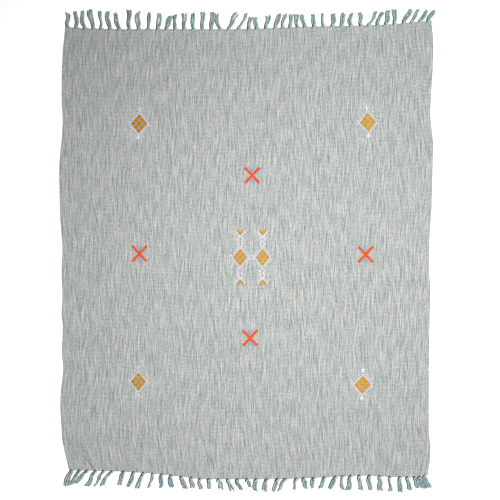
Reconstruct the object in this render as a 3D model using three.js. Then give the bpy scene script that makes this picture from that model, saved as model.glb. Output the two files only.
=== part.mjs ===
import * as THREE from 'three';

// Throw blanket of slub cotton laid out flat: one woven cloth with a knotted fringe at each end.
// Millimetres, +Z up. The warp runs along Y and the throw rests on the plane Z = 0.

// Driving sizes of the cloth
const HALF_WIDTH = 650;
const HALF_LENGTH = 792;
const CLOTH_THICKNESS = 2;
const COLUMNS = 30;
const ROWS = 36;

// Driving sizes of the fringe
const PIECE_GAP = 0.3;
const STRIP_DEPTH = 3.5;
const NECK_LENGTH = 8;
const NECK_ROUND = 1.6;
const NECK_HEIGHT = 3;
const STRANDS = 3;
const STRAND_SPACING = 4.9;
const STRAND_WIDTH = 4;
const STRAND_HEIGHT = 3.4;
const TIP_WIDTH = 2.8;
const TIP_HEIGHT = 2.2;
const TASSEL_WIDTH = STRANDS * STRAND_SPACING;
const NECK_HALF_WIDTH = (TASSEL_WIDTH - STRAND_SPACING + STRAND_WIDTH) / 2;
const TASSEL_BOW = 2.4;

// A knot seen from above has six sides and is wider than it is deep; its crown is smaller than its foot
const KNOT_SIDES = 6;
const KNOT_HALF_WIDTH = 6.2;
const KNOT_HALF_DEPTH = 4.4;
const KNOT_HEIGHT = 6.2;
const KNOT_CROWN_SHARE = 0.55;

// Selvedges: at each height along the throw, how far the edge stands out past the half width
const LEFT_SELVEDGE = [
  { along: 792, out: -10 },
  { along: 685, out: 0 },
  { along: 530, out: 3 },
  { along: 442, out: -1 },
  { along: 308, out: 10 },
  { along: 139, out: 9 },
  { along: 5, out: 0 },
  { along: -88, out: 3 },
  { along: -167, out: 0 },
  { along: -241, out: 3 },
  { along: -273, out: -2 },
  { along: -364, out: 2 },
  { along: -438, out: -2 },
  { along: -533, out: 7 },
  { along: -663, out: 2 },
  { along: -713, out: -5 },
  { along: -751, out: -14 },
  { along: -792, out: -24 },
];
const RIGHT_SELVEDGE = [
  { along: 792, out: -3 },
  { along: 695, out: 4 },
  { along: 579, out: -1 },
  { along: 523, out: -5 },
  { along: 445, out: -7 },
  { along: 368, out: 3 },
  { along: 280, out: 1 },
  { along: 160, out: -2 },
  { along: 76, out: -7 },
  { along: -55, out: -13 },
  { along: -132, out: -8 },
  { along: -301, out: -10 },
  { along: -438, out: -12 },
  { along: -628, out: -12 },
  { along: -720, out: -7 },
  { along: -792, out: -15 },
];

// Ends: at each place across the throw, how far the edge stands out past the half length
const UPPER_END = [
  { along: -650, out: -5 },
  { along: -533, out: -11 },
  { along: -307, out: -12 },
  { along: -29, out: -12 },
  { along: 122, out: -7 },
  { along: 235, out: -3 },
  { along: 460, out: 3 },
  { along: 543, out: 8 },
  { along: 597, out: 14 },
  { along: 650, out: 17 },
];
const LOWER_END = [
  { along: -650, out: -18 },
  { along: -476, out: -14 },
  { along: -332, out: -5 },
  { along: -240, out: 5 },
  { along: -181, out: 12 },
  { along: -29, out: 14 },
  { along: 179, out: 11 },
  { along: 347, out: 3 },
  { along: 442, out: 1 },
  { along: 513, out: 5 },
  { along: 615, out: 5 },
  { along: 650, out: -4 },
];

// Low soft folds of the laid cloth: centre, turn of the ridge from +X in degrees, length, width and rise
const FOLDS = [
  { x: -590, y: -270, turn: 2, length: 320, width: 120, rise: 4.5 },
  { x: -600, y: 20, turn: -6, length: 240, width: 130, rise: 3.5 },
  { x: -610, y: 430, turn: 5, length: 230, width: 130, rise: 4 },
  { x: -590, y: -640, turn: 12, length: 230, width: 120, rise: 4.5 },
  { x: -250, y: -4, turn: -3, length: 260, width: 110, rise: 2 },
  { x: 605, y: 460, turn: 172, length: 240, width: 130, rise: 4 },
  { x: 600, y: -40, turn: 4, length: 290, width: 140, rise: 4.5 },
  { x: 364, y: -560, turn: -4, length: 240, width: 110, rise: 2 },
  { x: 600, y: -610, turn: 174, length: 230, width: 130, rise: 4 },
];

// Fringe: number of the tassel from the left, place of its knot across the throw, how far its tips lean to the
// right of the knot and how far they reach past the cloth. Tassels between two rows lie evenly between them.
const UPPER_TASSELS = [
  { tassel: 1, root: -632, lean: -1, reach: 56 },
  { tassel: 4, root: -541, lean: -12, reach: 70 },
  { tassel: 5, root: -515, lean: -2, reach: 67 },
  { tassel: 7, root: -450, lean: -12, reach: 61 },
  { tassel: 8, root: -415, lean: -1, reach: 72 },
  { tassel: 11, root: -314, lean: 7, reach: 58 },
  { tassel: 12, root: -284, lean: 18, reach: 51 },
  { tassel: 13, root: -253, lean: -4, reach: 58 },
  { tassel: 17, root: -126, lean: 3, reach: 64 },
  { tassel: 18, root: -95, lean: -16, reach: 60 },
  { tassel: 19, root: -65, lean: 28, reach: 63 },
  { tassel: 20, root: -30, lean: 28, reach: 58 },
  { tassel: 21, root: 6, lean: 10, reach: 44 },
  { tassel: 22, root: 34, lean: -4, reach: 43 },
  { tassel: 24, root: 99, lean: 15, reach: 54 },
  { tassel: 28, root: 203, lean: -8, reach: 47 },
  { tassel: 32, root: 332, lean: 8, reach: 48 },
  { tassel: 34, root: 399, lean: -1, reach: 48 },
  { tassel: 35, root: 428, lean: 27, reach: 49 },
  { tassel: 38, root: 518, lean: 0, reach: 53 },
  { tassel: 39, root: 550, lean: 26, reach: 52 },
  { tassel: 42, root: 637, lean: 20, reach: 41 },
];
const LOWER_TASSELS = [
  { tassel: 1, root: -618, lean: -19, reach: 59 },
  { tassel: 3, root: -565, lean: -38, reach: 48 },
  { tassel: 4, root: -535, lean: -31, reach: 58 },
  { tassel: 6, root: -478, lean: -30, reach: 55 },
  { tassel: 7, root: -436, lean: -16, reach: 51 },
  { tassel: 9, root: -366, lean: -20, reach: 57 },
  { tassel: 12, root: -269, lean: 6, reach: 47 },
  { tassel: 13, root: -233, lean: 20, reach: 43 },
  { tassel: 14, root: -198, lean: 6, reach: 39 },
  { tassel: 16, root: -136, lean: 3, reach: 37 },
  { tassel: 18, root: -69, lean: 18, reach: 44 },
  { tassel: 20, root: -2, lean: 15, reach: 30 },
  { tassel: 21, root: 30, lean: 2, reach: 45 },
  { tassel: 23, root: 105, lean: -12, reach: 47 },
  { tassel: 24, root: 133, lean: -22, reach: 46 },
  { tassel: 25, root: 172, lean: -6, reach: 45 },
  { tassel: 26, root: 197, lean: 12, reach: 37 },
  { tassel: 27, root: 233, lean: -6, reach: 39 },
  { tassel: 29, root: 310, lean: -20, reach: 46 },
  { tassel: 30, root: 334, lean: 4, reach: 50 },
  { tassel: 31, root: 362, lean: -8, reach: 51 },
  { tassel: 32, root: 393, lean: 6, reach: 54 },
  { tassel: 36, root: 536, lean: 3, reach: 56 },
  { tassel: 38, root: 590, lean: 17, reach: 41 },
  { tassel: 40, root: 628, lean: 17, reach: 46 },
];

const CLOTH_COLOUR = 0xb9c1bd;
const FRINGE_COLOUR = 0x7ba8a4;
const CLOTH_ROUGHNESS = 0.95;

// Smooth curve through the rows of a table, by cubic pieces with the slopes of their neighbours
function curveThrough(rows, key, value, at) {
  const sorted = [...rows].sort((a, b) => a[key] - b[key]);
  const last = sorted.length - 1;
  const place = THREE.MathUtils.clamp(at, sorted[0][key], sorted[last][key]);
  const next = Math.max(1, sorted.findIndex((row) => row[key] >= place));
  const [a, b] = [sorted[next - 1], sorted[next]];
  const before = sorted[Math.max(0, next - 2)];
  const after = sorted[Math.min(last, next + 1)];
  const span = b[key] - a[key];
  const t = (place - a[key]) / span;
  const slopeA = (b[value] - before[value]) / (b[key] - before[key]) * span;
  const slopeB = (after[value] - a[value]) / (after[key] - a[key]) * span;
  const rise = 3 * t * t - 2 * t * t * t;
  const bendA = t * (1 - t) * (1 - t) * slopeA;
  const bendB = t * t * (t - 1) * slopeB;
  return a[value] * (1 - rise) + b[value] * rise + bendA + bendB;
}

// Straight lines through the rows of a table
function lineThrough(rows, key, value, at) {
  const next = Math.max(1, rows.findIndex((row) => row[key] >= at));
  const [a, b] = [rows[next - 1], rows[next]];
  return THREE.MathUtils.mapLinear(at, a[key], b[key], a[value], b[value]);
}

const leftX = (along) => -HALF_WIDTH - curveThrough(LEFT_SELVEDGE, 'along', 'out', along);
const rightX = (along) => HALF_WIDTH + curveThrough(RIGHT_SELVEDGE, 'along', 'out', along);
const upperY = (across) => HALF_LENGTH + curveThrough(UPPER_END, 'along', 'out', across);
const lowerY = (across) => -HALF_LENGTH - curveThrough(LOWER_END, 'along', 'out', across);

// Place in the plan of a share across and a share along the cloth
function planPoint(across, along) {
  const { lerp } = THREE.MathUtils;
  const straightX = lerp(-HALF_WIDTH, HALF_WIDTH, across);
  const straightY = lerp(-HALF_LENGTH, HALF_LENGTH, along);
  const x = lerp(leftX(straightY), rightX(straightY), across);
  const y = lerp(lowerY(straightX), upperY(straightX), along);
  return new THREE.Vector2(x, y);
}

// Hump that is 1 in its middle and falls smoothly to 0 at a half length of 1
function softHump(distance) {
  return Math.abs(distance) < 1 ? (1 + Math.cos(Math.PI * distance)) / 2 : 0;
}

// How far the folds lift the cloth off the floor
function foldHeight(point) {
  const heights = FOLDS.map((fold) => {
    const offset = point.clone().sub(new THREE.Vector2(fold.x, fold.y));
    offset.rotateAround(new THREE.Vector2(), -THREE.MathUtils.degToRad(fold.turn));
    const lengthwise = softHump(offset.x / (fold.length / 2));
    return fold.rise * lengthwise * softHump(offset.y / (fold.width / 2));
  });
  return Math.max(...heights);
}

// Geometry from a list of triangles, each of three corners
function facetedGeometry(triangles) {
  const geometry = new THREE.BufferGeometry();
  geometry.setFromPoints(triangles.flat());
  geometry.computeVertexNormals();
  return geometry;
}

// The two triangles of a wall that stands on the edge from a to b, with the outside on its right
function wall(a, b, aboveB, aboveA) {
  return [[a, b, aboveB], [a, aboveB, aboveA]];
}

// The woven cloth: a sheet of even thickness whose two faces rise together over each fold
function clothGeometry() {
  const corner = (column, row, faceHeight) => {
    const point = planPoint(column / COLUMNS, row / ROWS);
    return new THREE.Vector3(point.x, point.y, faceHeight + foldHeight(point));
  };
  const triangles = [];
  for (let row = 0; row < ROWS; row += 1) {
    for (let column = 0; column < COLUMNS; column += 1) {
      for (const faceHeight of [0, CLOTH_THICKNESS]) {
        const a = corner(column, row, faceHeight);
        const b = corner(column + 1, row, faceHeight);
        const c = corner(column + 1, row + 1, faceHeight);
        const d = corner(column, row + 1, faceHeight);
        const upward = [[a, b, c], [a, c, d]];
        const isUpper = faceHeight > 0;
        triangles.push(...(isUpper ? upward : upward.map((face) => face.reverse())));
      }
    }
  }
  const rim = [];
  for (let column = 0; column < COLUMNS; column += 1) rim.push([column, 0]);
  for (let row = 0; row < ROWS; row += 1) rim.push([COLUMNS, row]);
  for (let column = COLUMNS; column > 0; column -= 1) rim.push([column, ROWS]);
  for (let row = ROWS; row > 0; row -= 1) rim.push([0, row]);
  rim.forEach((here, i) => {
    const next = rim[(i + 1) % rim.length];
    const [a, b] = [corner(...here, 0), corner(...next, 0)];
    triangles.push(...wall(a, b, corner(...next, CLOTH_THICKNESS), corner(...here, CLOTH_THICKNESS)));
  });
  return facetedGeometry(triangles);
}

// The cloth's end as plan points from left to right. Side is 1 for the upper end and -1 for the lower one.
function clothEnd(side) {
  const end = [];
  for (let column = 0; column <= COLUMNS; column += 1) {
    end.push(planPoint(column / COLUMNS, side > 0 ? 1 : 0));
  }
  return end;
}

// Point of the cloth's end at a place across it
function pointOnEnd(end, x) {
  const next = Math.max(1, end.findIndex((point) => point.x >= x));
  const [a, b] = [end[next - 1], end[next]];
  return new THREE.Vector2(x, THREE.MathUtils.mapLinear(x, a.x, b.x, a.y, b.y));
}

// Every tassel of one end: its root and its tips, with neighbouring tips kept a tassel's width apart
function tasselPlaces(table, end, side) {
  const count = table[table.length - 1].tassel;
  const places = [];
  for (let tassel = 1; tassel <= count; tassel += 1) {
    const root = pointOnEnd(end, lineThrough(table, 'tassel', 'root', tassel));
    const leant = root.x + lineThrough(table, 'tassel', 'lean', tassel);
    const nearest = tassel > 1 ? places[tassel - 2].tip.x + TASSEL_WIDTH : leant;
    const tipY = root.y + side * lineThrough(table, 'tassel', 'reach', tassel);
    const bow = (tassel % 3 - 1) * TASSEL_BOW;
    places.push({ root, tip: new THREE.Vector2(Math.max(leant, nearest), tipY), bow });
  }
  return places;
}

// Outline of one strand, from its right root round its tip to its left root, off the neck's rounded front
function strandOutline(place, side, strand) {
  const offset = (strand - (STRANDS - 1) / 2) * STRAND_SPACING;
  const shortfall = offset === 0 ? 0 : 2 + strand;
  const frontY = place.root.y + side * (PIECE_GAP + STRIP_DEPTH + NECK_LENGTH);
  const tipY = place.tip.y - side * shortfall;
  const middleX = THREE.MathUtils.lerp(place.root.x, place.tip.x, 0.4) + place.bow;
  const sideOf = (hand) => {
    const rootOut = offset + hand * STRAND_WIDTH / 2;
    const rootY = frontY - side * NECK_ROUND * (rootOut / NECK_HALF_WIDTH) ** 2;
    return [
      new THREE.Vector3(place.root.x + rootOut, rootY, NECK_HEIGHT),
      new THREE.Vector3(middleX + rootOut, (frontY + tipY) / 2, STRAND_HEIGHT),
      new THREE.Vector3(place.tip.x + offset + hand * TIP_WIDTH / 2, tipY, TIP_HEIGHT),
    ];
  };
  return [...sideOf(1), ...sideOf(-1).reverse()];
}

// Outline of one tassel with its length of the strip, as crown points that start at the strip's near side
function tasselOutline(place, end, side, fromX, toX) {
  const stripPoint = (x, depth) => {
    const point = pointOnEnd(end, x);
    return new THREE.Vector3(x, point.y + side * (PIECE_GAP + depth), CLOTH_THICKNESS);
  };
  const turns = end.filter((point) => point.x > fromX && point.x < toX);
  const nearSide = [fromX, ...turns.map((point) => point.x), toX].map((x) => stripPoint(x, 0));
  const neckSide = (hand) => stripPoint(place.root.x + hand * NECK_HALF_WIDTH, STRIP_DEPTH);
  const outline = [...nearSide, stripPoint(toX, STRIP_DEPTH), neckSide(1)];
  for (let strand = STRANDS - 1; strand >= 0; strand -= 1) {
    outline.push(...strandOutline(place, side, strand));
  }
  outline.push(neckSide(-1), stripPoint(fromX, STRIP_DEPTH));
  return outline;
}

// Ring of a knot round its middle, as a share of its full size
function knotRing(place, side, share, height) {
  const middleY = place.root.y + side * (PIECE_GAP + (STRIP_DEPTH + NECK_LENGTH) / 2);
  const ring = [];
  for (let corner = 0; corner < KNOT_SIDES; corner += 1) {
    const angle = corner / KNOT_SIDES * 2 * Math.PI;
    const x = place.root.x + share * KNOT_HALF_WIDTH * Math.cos(angle);
    ring.push(new THREE.Vector3(x, middleY + share * KNOT_HALF_DEPTH * Math.sin(angle), height));
  }
  return ring;
}

// One tassel: its strands, its knot and its length of the strip, open where the strip runs on
function tasselTriangles(place, end, side, cuts) {
  const outline = tasselOutline(place, end, side, cuts.from.x, cuts.to.x);
  if (THREE.ShapeUtils.isClockWise(outline)) outline.reverse();
  const foot = knotRing(place, side, 1, NECK_HEIGHT);
  const crown = knotRing(place, side, KNOT_CROWN_SHARE, KNOT_HEIGHT);
  const floor = outline.map((point) => point.clone().setZ(0));
  const triangles = [];
  const upper = [...outline, ...foot];
  for (const face of THREE.ShapeUtils.triangulateShape(outline, [foot])) {
    triangles.push(face.map((i) => upper[i]));
  }
  for (const face of THREE.ShapeUtils.triangulateShape(outline, [])) {
    triangles.push(face.map((i) => floor[i]).reverse());
  }
  outline.forEach((point, i) => {
    const j = (i + 1) % outline.length;
    const isOnCut = (cut) => cut.open && point.x === cut.x && outline[j].x === cut.x;
    const runsOn = isOnCut(cuts.from) || isOnCut(cuts.to);
    if (!runsOn) triangles.push(...wall(floor[i], floor[j], outline[j], point));
  });
  foot.forEach((point, i) => {
    const j = (i + 1) % KNOT_SIDES;
    triangles.push(...wall(point, foot[j], crown[j], crown[i]));
  });
  for (let corner = 2; corner < KNOT_SIDES; corner += 1) {
    triangles.push([crown[0], crown[corner - 1], crown[corner]]);
  }
  return triangles;
}

// One fringe: a narrow strip of parted warp ends just outside the cloth's end, with every tassel fused to it
function fringeGeometry(table, side) {
  const end = clothEnd(side);
  const places = tasselPlaces(table, end, side);
  const triangles = [];
  places.forEach((place, i) => {
    const [before, after] = [places[i - 1], places[i + 1]];
    const from = before ? (before.root.x + place.root.x) / 2 : end[0].x;
    const to = after ? (place.root.x + after.root.x) / 2 : end[COLUMNS].x;
    const cuts = { from: { x: from, open: Boolean(before) }, to: { x: to, open: Boolean(after) } };
    triangles.push(...tasselTriangles(place, end, side, cuts));
  });
  return facetedGeometry(triangles);
}

// Named piece of woven cotton
function piece(name, geometry, colour) {
  const material = new THREE.MeshStandardMaterial({
    color: colour,
    roughness: CLOTH_ROUGHNESS,
    metalness: 0,
  });
  const mesh = new THREE.Mesh(geometry, material);
  mesh.name = name;
  return mesh;
}

// Stands the group with the middle of its outline at the origin, on the floor
function centreOnFloor(group) {
  const box = new THREE.Box3().setFromObject(group);
  const centre = box.getCenter(new THREE.Vector3());
  group.position.set(-centre.x, -centre.y, -box.min.z);
}

const throwBlanket = new THREE.Group();
throwBlanket.add(piece('throw_cloth', clothGeometry(), CLOTH_COLOUR));
throwBlanket.add(piece('fringe_upper', fringeGeometry(UPPER_TASSELS, 1), FRINGE_COLOUR));
throwBlanket.add(piece('fringe_lower', fringeGeometry(LOWER_TASSELS, -1), FRINGE_COLOUR));
centreOnFloor(throwBlanket);

export default throwBlanket;
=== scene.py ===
"""Looks of a throw blanket of slub cotton, laid out flat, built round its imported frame.

The warp runs along Y. The cloth is one closed sheet on its low folds, with the slubs of its warp yarns
lying in it. Each end has a knotted fringe of warp yarns. Lozenges, crosses and two columns are worked on it
in floss, one stitch at a time. Plans are in millimetres, as a maker would note them, and meshes in metres.
"""

from __future__ import annotations

import logging
import math
from collections.abc import Callable, Iterable, Sequence
from dataclasses import dataclass, field, replace
from enum import Enum

import bpy
import numpy as np
from bpy.types import Material, Node, NodeSocket, NodeTree, Object
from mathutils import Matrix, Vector

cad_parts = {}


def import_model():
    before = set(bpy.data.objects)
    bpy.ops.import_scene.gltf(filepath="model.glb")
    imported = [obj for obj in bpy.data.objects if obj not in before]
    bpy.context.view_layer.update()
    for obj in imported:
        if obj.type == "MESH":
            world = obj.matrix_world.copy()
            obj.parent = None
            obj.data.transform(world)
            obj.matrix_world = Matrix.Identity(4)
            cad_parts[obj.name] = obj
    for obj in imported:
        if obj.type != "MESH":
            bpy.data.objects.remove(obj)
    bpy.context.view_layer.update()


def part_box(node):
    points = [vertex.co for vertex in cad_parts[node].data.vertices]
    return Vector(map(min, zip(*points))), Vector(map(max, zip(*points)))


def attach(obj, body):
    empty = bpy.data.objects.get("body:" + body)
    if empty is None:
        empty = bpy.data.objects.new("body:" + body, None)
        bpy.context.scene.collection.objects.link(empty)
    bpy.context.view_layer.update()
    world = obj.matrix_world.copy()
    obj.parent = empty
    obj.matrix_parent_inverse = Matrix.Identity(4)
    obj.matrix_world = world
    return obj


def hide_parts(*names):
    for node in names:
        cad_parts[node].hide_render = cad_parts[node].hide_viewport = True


LOG = logging.getLogger("throw_blanket")
BODY = "root"
MM = 0.001

# Half the side, in millimetres, of the square that random fields cover
FIELD_REACH = 1000

Table = tuple[tuple[float, ...], ...]
Point = tuple[float, float]
Stops = tuple[tuple[float, str], ...]


class Slot(Enum):
    """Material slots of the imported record."""

    CLOTH = "slub_cotton"
    FRINGE = "fringe_yarn"
    GOLD = "gold_floss"
    LILAC = "lilac_floss"
    ORANGE = "orange_floss"


class End(Enum):
    """The two cut ends of the cloth, as the direction in which each one faces along the warp."""

    UPPER = 1
    LOWER = -1


# Small tools


def linear(hex_colour: str) -> tuple[float, float, float, float]:
    """Turns an sRGB colour into linear light.

    Args:
        hex_colour: Six hexadecimal digits, such as "C9D1CC".

    Returns:
        Linear red, green and blue, and an alpha of 1.
    """
    shares = [int(hex_colour[i : i + 2], 16) / 255 for i in (0, 2, 4)]
    light = [s / 12.92 if s <= 0.04045 else ((s + 0.055) / 1.055) ** 2.4 for s in shares]
    return (light[0], light[1], light[2], 1.0)


def add_node(
    tree: NodeTree, kind: str, inputs: dict[int | str, object] | None = None, **settings: object
) -> Node:
    """Adds one node to a tree, with its settings, its values and its links.

    Args:
        tree: Tree that gets the node.
        kind: Blender's name of the node type.
        inputs: Values, or output sockets to link, by the input's name or number.
        settings: Properties of the node.

    Returns:
        The new node.
    """
    node = tree.nodes.new(kind)
    for name, value in settings.items():
        setattr(node, name, value)
    for key, value in (inputs or {}).items():
        if isinstance(value, NodeSocket):
            tree.links.new(value, node.inputs[key])
        else:
            node.inputs[key].default_value = value
    return node


def calc(tree: NodeTree, operation: str, *values: object) -> NodeSocket:
    """Result of a Math node."""
    return add_node(tree, "ShaderNodeMath", dict(enumerate(values)), operation=operation).outputs[0]


def vector_calc(tree: NodeTree, operation: str, *values: object) -> NodeSocket:
    """Result of a Vector Math node."""
    return add_node(tree, "ShaderNodeVectorMath", dict(enumerate(values)), operation=operation).outputs[0]


def read(tree: NodeTree, name: str, output: str = "Fac") -> NodeSocket:
    """Attribute of the mesh, as a material reads it."""
    return add_node(tree, "ShaderNodeAttribute", attribute_name=name).outputs[output]


def field_of(tree: NodeTree, name: str, kind: str = "FLOAT") -> NodeSocket:
    """Attribute of the mesh, as a Geometry Nodes tree reads it."""
    return add_node(tree, "GeometryNodeInputNamedAttribute", {"Name": name}, data_type=kind).outputs[0]


def keep(
    tree: NodeTree, geometry: NodeSocket, name: str, value: NodeSocket, kind: str = "FLOAT"
) -> NodeSocket:
    """Geometry that holds a value at each of its points."""
    kept = {"Geometry": geometry, "Name": name, "Value": value}
    return add_node(tree, "GeometryNodeStoreNamedAttribute", kept, data_type=kind).outputs[0]


def set_stops(ramp: Node, stops: Stops) -> None:
    """Gives a colour ramp its stops.

    Args:
        ramp: Colour Ramp node.
        stops: Place from 0 to 1 and sRGB colour of each stop, in order. There are two or more.
    """
    elements = ramp.color_ramp.elements
    for _ in range(len(stops) - len(elements)):
        elements.new(0.5)
    for element, (place, colour) in zip(elements, stops):
        element.position = place
        element.color = linear(colour)


def mesh_object(name: str, points: np.ndarray, edges: Sequence = (), faces: Sequence = ()) -> Object:
    """Makes an object at the origin from points in millimetres.

    Args:
        name: Name of the object.
        points: One row of x, y and z for each vertex.
        edges: Pairs of vertex numbers.
        faces: Rings of vertex numbers, counter-clockwise from outside.

    Returns:
        The object, linked to the scene.
    """
    mesh = bpy.data.meshes.new(name)
    mesh.from_pydata((points * MM).tolist(), edges, faces)
    mesh.update()
    made = bpy.data.objects.new(name, mesh)
    bpy.context.scene.collection.objects.link(made)
    return made


def store(piece: Object, name: str, values: np.ndarray) -> None:
    """Stores a number or a vector at each vertex of a mesh.

    Args:
        piece: Object of the mesh.
        name: Name of the attribute.
        values: One number or one row of three for each vertex.
    """
    is_vector = values.ndim == 2
    attribute = piece.data.attributes.new(name, "FLOAT_VECTOR" if is_vector else "FLOAT", "POINT")
    attribute.data.foreach_set("vector" if is_vector else "value", values.astype(np.float32).ravel())


def soft_hump(distance: np.ndarray) -> np.ndarray:
    """Hump that is 1 in its middle and falls smoothly to 0 at a distance of 1."""
    return np.where(np.abs(distance) < 1, (1 + np.cos(np.pi * distance)) / 2, 0)


def soft_field(seed: int, x: np.ndarray, y: np.ndarray, cell: Point) -> np.ndarray:
    """Smooth random field from -1 to 1, such as the uneven height of handloom cloth.

    Args:
        seed: Seed of its random numbers.
        x: Places across in millimetres.
        y: Places along in millimetres, of the same shape.
        cell: Width and length of its cells in millimetres.

    Returns:
        The field's value at each place.
    """
    counts = [int(2 * FIELD_REACH / size) + 4 for size in cell]
    grid = np.random.default_rng(seed).uniform(-1, 1, counts)
    across = (x + FIELD_REACH) / cell[0]
    along = (y + FIELD_REACH) / cell[1]
    i, j = np.floor(across).astype(int), np.floor(along).astype(int)
    s, t = across - i, along - j
    s, t = s * s * (3 - 2 * s), t * t * (3 - 2 * t)
    low = grid[i, j] * (1 - s) + grid[i + 1, j] * s
    high = grid[i, j + 1] * (1 - s) + grid[i + 1, j + 1] * s
    return low * (1 - t) + high * t


def between(a: Point, b: Point, share: float) -> Point:
    """Point at a share of the way from one point to another."""
    return a[0] + (b[0] - a[0]) * share, a[1] + (b[1] - a[1]) * share


def sides_of(ring: list) -> list[tuple]:
    """Each neighbouring pair of a closed ring."""
    return list(zip(ring, ring[1:] + ring[:1]))


def rounded(line: Sequence[Point], steps: int = 4) -> list[Point]:
    """Line with its corners rounded, as a thread pulls them.

    Args:
        line: Points of the line.
        steps: Steps between two of its points.

    Returns:
        Points of the rounded line.
    """
    points = np.array([line[0], *line, line[-1]], dtype=float)
    made = []
    for before, here, there, after in zip(points, points[1:], points[2:], points[3:]):
        slope = there - before
        bend = 2 * before - 5 * here + 4 * there - after
        turn = 3 * here - before - 3 * there + after
        for t in np.arange(steps) / steps:
            made.append(tuple((2 * here + slope * t + bend * t**2 + turn * t**3) / 2))
    return [*made, line[-1]]


# Plan of the throw, as its maker would note it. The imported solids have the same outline, folds and tassels.


@dataclass(frozen=True)
class EdgeLine:
    """Smooth edge of the cloth: how far it stands out at places along it.

    Attributes:
        rows: Place and distance out, in millimetres, in rising order of place.
    """

    rows: Table

    def out(self, place: np.ndarray) -> np.ndarray:
        """Distance out at each place, by cubic pieces with the slopes of their neighbours."""
        keys, values = np.array(self.rows, dtype=float).T
        last = len(keys) - 1
        here = np.clip(place, keys[0], keys[last])
        b = np.clip(np.searchsorted(keys, here), 1, last)
        a = b - 1
        before = np.maximum(0, a - 1)
        after = np.minimum(last, b + 1)
        span = keys[b] - keys[a]
        t = (here - keys[a]) / span
        slope_a = (values[b] - values[before]) / (keys[b] - keys[before]) * span
        slope_b = (values[after] - values[a]) / (keys[after] - keys[a]) * span
        rise = 3 * t**2 - 2 * t**3
        bend = t * (1 - t) ** 2 * slope_a + t**2 * (t - 1) * slope_b
        return values[a] * (1 - rise) + values[b] * rise + bend


LEFT_SELVEDGE = EdgeLine(
    (
        (-792, -24), (-751, -14), (-713, -5), (-663, 2), (-533, 7), (-438, -2), (-364, 2), (-273, -2),
        (-241, 3), (-167, 0), (-88, 3), (5, 0), (139, 9), (308, 10), (442, -1), (530, 3), (685, 0),
        (792, -10),
    )
)
RIGHT_SELVEDGE = EdgeLine(
    (
        (-792, -15), (-720, -7), (-628, -12), (-438, -12), (-301, -10), (-132, -8), (-55, -13), (76, -7),
        (160, -2), (280, 1), (368, 3), (445, -7), (523, -5), (579, -1), (695, 4), (792, -3),
    )
)
UPPER_EDGE = EdgeLine(
    (
        (-650, -5), (-533, -11), (-307, -12), (-29, -12), (122, -7), (235, -3), (460, 3), (543, 8),
        (597, 14), (650, 17),
    )
)
LOWER_EDGE = EdgeLine(
    (
        (-650, -18), (-476, -14), (-332, -5), (-240, 5), (-181, 12), (-29, 14), (179, 11), (347, 3),
        (442, 1), (513, 5), (615, 5), (650, -4),
    )
)

# Low folds and narrow creases of the laid cloth: centre, turn of the ridge from +X in degrees, length, width
# and rise
FOLDS = (
    (-590, -270, 2, 320, 120, 4.5),
    (-600, 20, -6, 240, 130, 3.5),
    (-610, 430, 5, 230, 130, 4),
    (-590, -640, 12, 230, 120, 4.5),
    (-250, -4, -3, 260, 110, 2),
    (605, 460, 172, 240, 130, 4),
    (600, -40, 4, 290, 140, 4.5),
    (364, -560, -4, 240, 110, 2),
    (600, -610, 174, 230, 130, 4),
)
CREASES = (
    (-575, -273, 1, 150, 16, 1.6),
    (-575, -288, 1, 130, 14, -1.1),
    (-254, -5, -2, 120, 14, 1.1),
    (-560, -746, -57, 90, 24, 1.4),
    (363, -561, -4, 84, 16, 1.2),
    (313, -269, 0, 40, 14, 0.8),
    (590, -44, 3, 120, 18, 1.0),
    (598, 300, -6, 90, 16, 0.9),
    (-598, 610, 8, 84, 18, 0.9),
    (610, -700, 160, 90, 20, 1.0),
)

# Fringe: number of the tassel from the left, place of its knot, how far its tips lean to the right of the
# knot and how far they reach past the cloth. Tassels between two rows lie evenly between them.
UPPER_TASSELS = (
    (1, -632, -1, 56), (4, -541, -12, 70), (5, -515, -2, 67), (7, -450, -12, 61), (8, -415, -1, 72),
    (11, -314, 7, 58), (12, -284, 18, 51), (13, -253, -4, 58), (17, -126, 3, 64), (18, -95, -16, 60),
    (19, -65, 28, 63), (20, -30, 28, 58), (21, 6, 10, 44), (22, 34, -4, 43), (24, 99, 15, 54),
    (28, 203, -8, 47), (32, 332, 8, 48), (34, 399, -1, 48), (35, 428, 27, 49), (38, 518, 0, 53),
    (39, 550, 26, 52), (42, 637, 20, 41),
)
LOWER_TASSELS = (
    (1, -618, -19, 59), (3, -565, -38, 48), (4, -535, -31, 58), (6, -478, -30, 55), (7, -436, -16, 51),
    (9, -366, -20, 57), (12, -269, 6, 47), (13, -233, 20, 43), (14, -198, 6, 39), (16, -136, 3, 37),
    (18, -69, 18, 44), (20, -2, 15, 30), (21, 30, 2, 45), (23, 105, -12, 47), (24, 133, -22, 46),
    (25, 172, -6, 45), (26, 197, 12, 37), (27, 233, -6, 39), (29, 310, -20, 46), (30, 334, 4, 50),
    (31, 362, -8, 51), (32, 393, 6, 54), (36, 536, 3, 56), (38, 588, 15, 41), (40, 622, 17, 46),
)


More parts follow.
